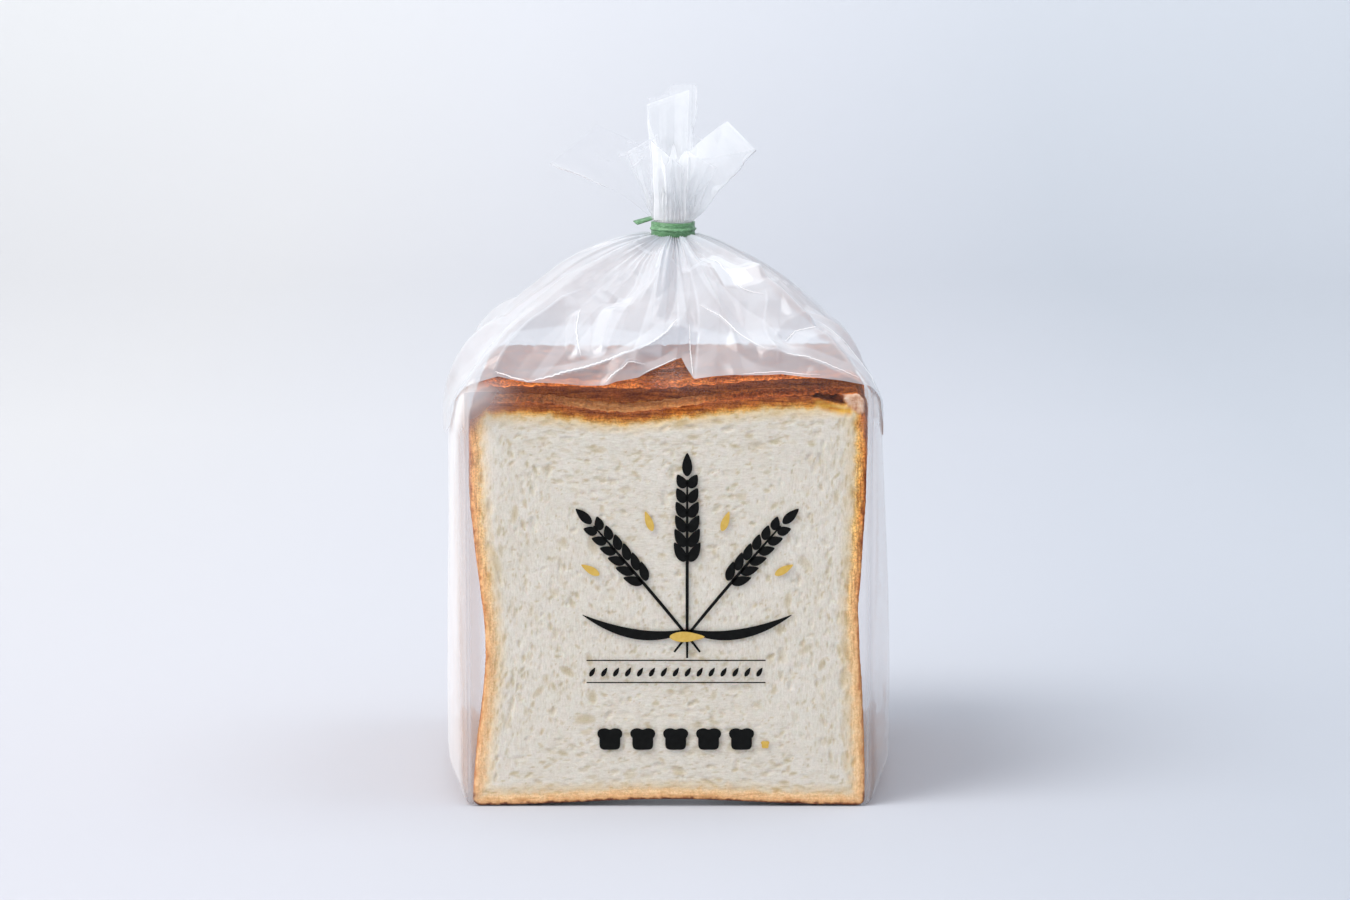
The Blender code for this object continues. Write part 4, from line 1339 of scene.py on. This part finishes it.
# Along the wire's rib the green is lighter in patches
rib_lighter = times(add, green, ramp(add, paper_mottle, (0.35, 0.8), (0.6, (1.7, 1.5, 1.7))))
green = blend_colours(add, spread(add, marked(add, "rib"), 0.0, 1.0), green, rib_lighter)
sheen = spread(add, paper_mottle, 0.2, 0.8, 0.24, 0.4)
coat(tie_paper, add, green, bumped(add, fibre, 0.5, 0.0003), sheen, Specular_IOR_Level=0.6)

middle = (TIE_BOTTOM + TIE_TOP) / 2
half = (TIE_TOP - TIE_BOTTOM) / 2 - TIE_MARGIN
inner = NECK_RADIUS + TIE_GAP
outer = inner + TIE_THICKNESS
# The strip's section, up to the wire's rib at its middle: how far out, how high, and how much it is rib
lower_half = [(inner, -half, 0), (outer - 0.00012, -half, 0), (outer, -half + TIE_ROUNDED, 0),
              (outer, -0.00085, 0), (outer, -0.00055, 0.2), (outer + 0.6 * TIE_RIB, -0.0003, 0.8)]
upper_half = [(radius, -rise, ridge) for radius, rise, ridge in reversed(lower_half)]
section = lower_half + [(outer + TIE_RIB, 0, 1)] + upper_half
tie_points, tie_rib, tie_faces = [], [], []
for step in range(TIE_STEPS):
    turn = math.tau * step / TIE_STEPS
    sway = TIE_SWAY * math.sin(turn * 2 + 0.8)
    squeeze = 1 - 0.03 * abs(math.sin(turn * 3.0 + 1.0))
    here, there = step * len(section), (step + 1) % TIE_STEPS * len(section)
    for i, (radius, rise, ridge) in enumerate(section):
        flutter = TIE_FLUTTER * noise.noise(Vector((math.cos(turn) * 4, math.sin(turn) * 4, rise * 900)))
        radius = radius + (flutter if radius >= outer else 0)
        level = middle + rise * squeeze + sway
        tie_points.append((NECK_X + radius * math.cos(turn), radius * math.sin(turn), level))
        tie_rib.append(ridge)
        j = (i + 1) % len(section)
        tie_faces.append((here + i, there + i, there + j, here + j))


def add_strip(start, end, size, first_turn, last_turn, steps, droop):
    """A stretch of the strip from start to end, turned about its own line on the way."""
    start, end = Vector(start), Vector(end)
    half_width, half_thickness = size
    line = (end - start).normalized()
    side = line.cross(Vector((0, 0, 1))).normalized()
    lift = side.cross(line)
    before = len(tie_points)
    under = [(-1, -1, 0), (-0.25, -1, 0), (0, -1.9, 1), (0.25, -1, 0), (1, -1, 0)]
    outline = under + [(-u, -v, ridge) for u, v, ridge in under]
    count = len(outline)
    for step in range(steps + 1):
        part = step / steps
        turn = first_turn + (last_turn - first_turn) * part
        across = side * math.cos(turn) + lift * math.sin(turn)
        thick = lift * math.cos(turn) - side * math.sin(turn)
        centre = start.lerp(end, part) + Vector((0, 0, -droop * part * part))
        for u, v, ridge in outline:
            tie_points.append(tuple(centre + across * (u * half_width) + thick * (v * half_thickness)))
            tie_rib.append(ridge)
    for step in range(steps):
        for i in range(count):
            j = (i + 1) % count
            a = before + step * count
            tie_faces.append((a + i, a + j, a + count + j, a + count + i))
    tie_faces.append(tuple(range(before, before + count))[::-1])
    last = before + steps * count
    tie_faces.append(tuple(range(last, last + count)))


def behind_neck(x, y, z):
    return NECK_X + x, y, middle + z


# Both strands turn once round each other; then one end points left and the other straight back
twist_start, twist_end = behind_neck(-0.003, 0.006, 0.0), behind_neck(-0.0042, 0.0098, 0.0012)
add_strip(twist_start, twist_end, TWISTED, math.pi / 2, math.pi * 2.5, TWIST_STEPS, 0.0)
add_strip(twist_start, twist_end, TWISTED, 0.0, math.pi * 2, TWIST_STEPS, 0.0)
add_strip(behind_neck(-0.0036, 0.0096, 0.0034), behind_neck(-0.0118, 0.0068, 0.0016), LOOSE_END, 0.1, 0.22,
          END_STEPS, 0.0003)
add_strip(behind_neck(-0.004, 0.0096, 0.0014), behind_neck(-0.003, 0.0148, 0.002), LOOSE_END, 0.0, 0.6,
          END_STEPS, 0.0004)
tie = mesh_piece("tie", tie_points, tie_faces, [tie_paper], {"rib": tie_rib})
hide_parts("twist_tie")
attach(tie, "root")

bpy.context.view_layer.update()
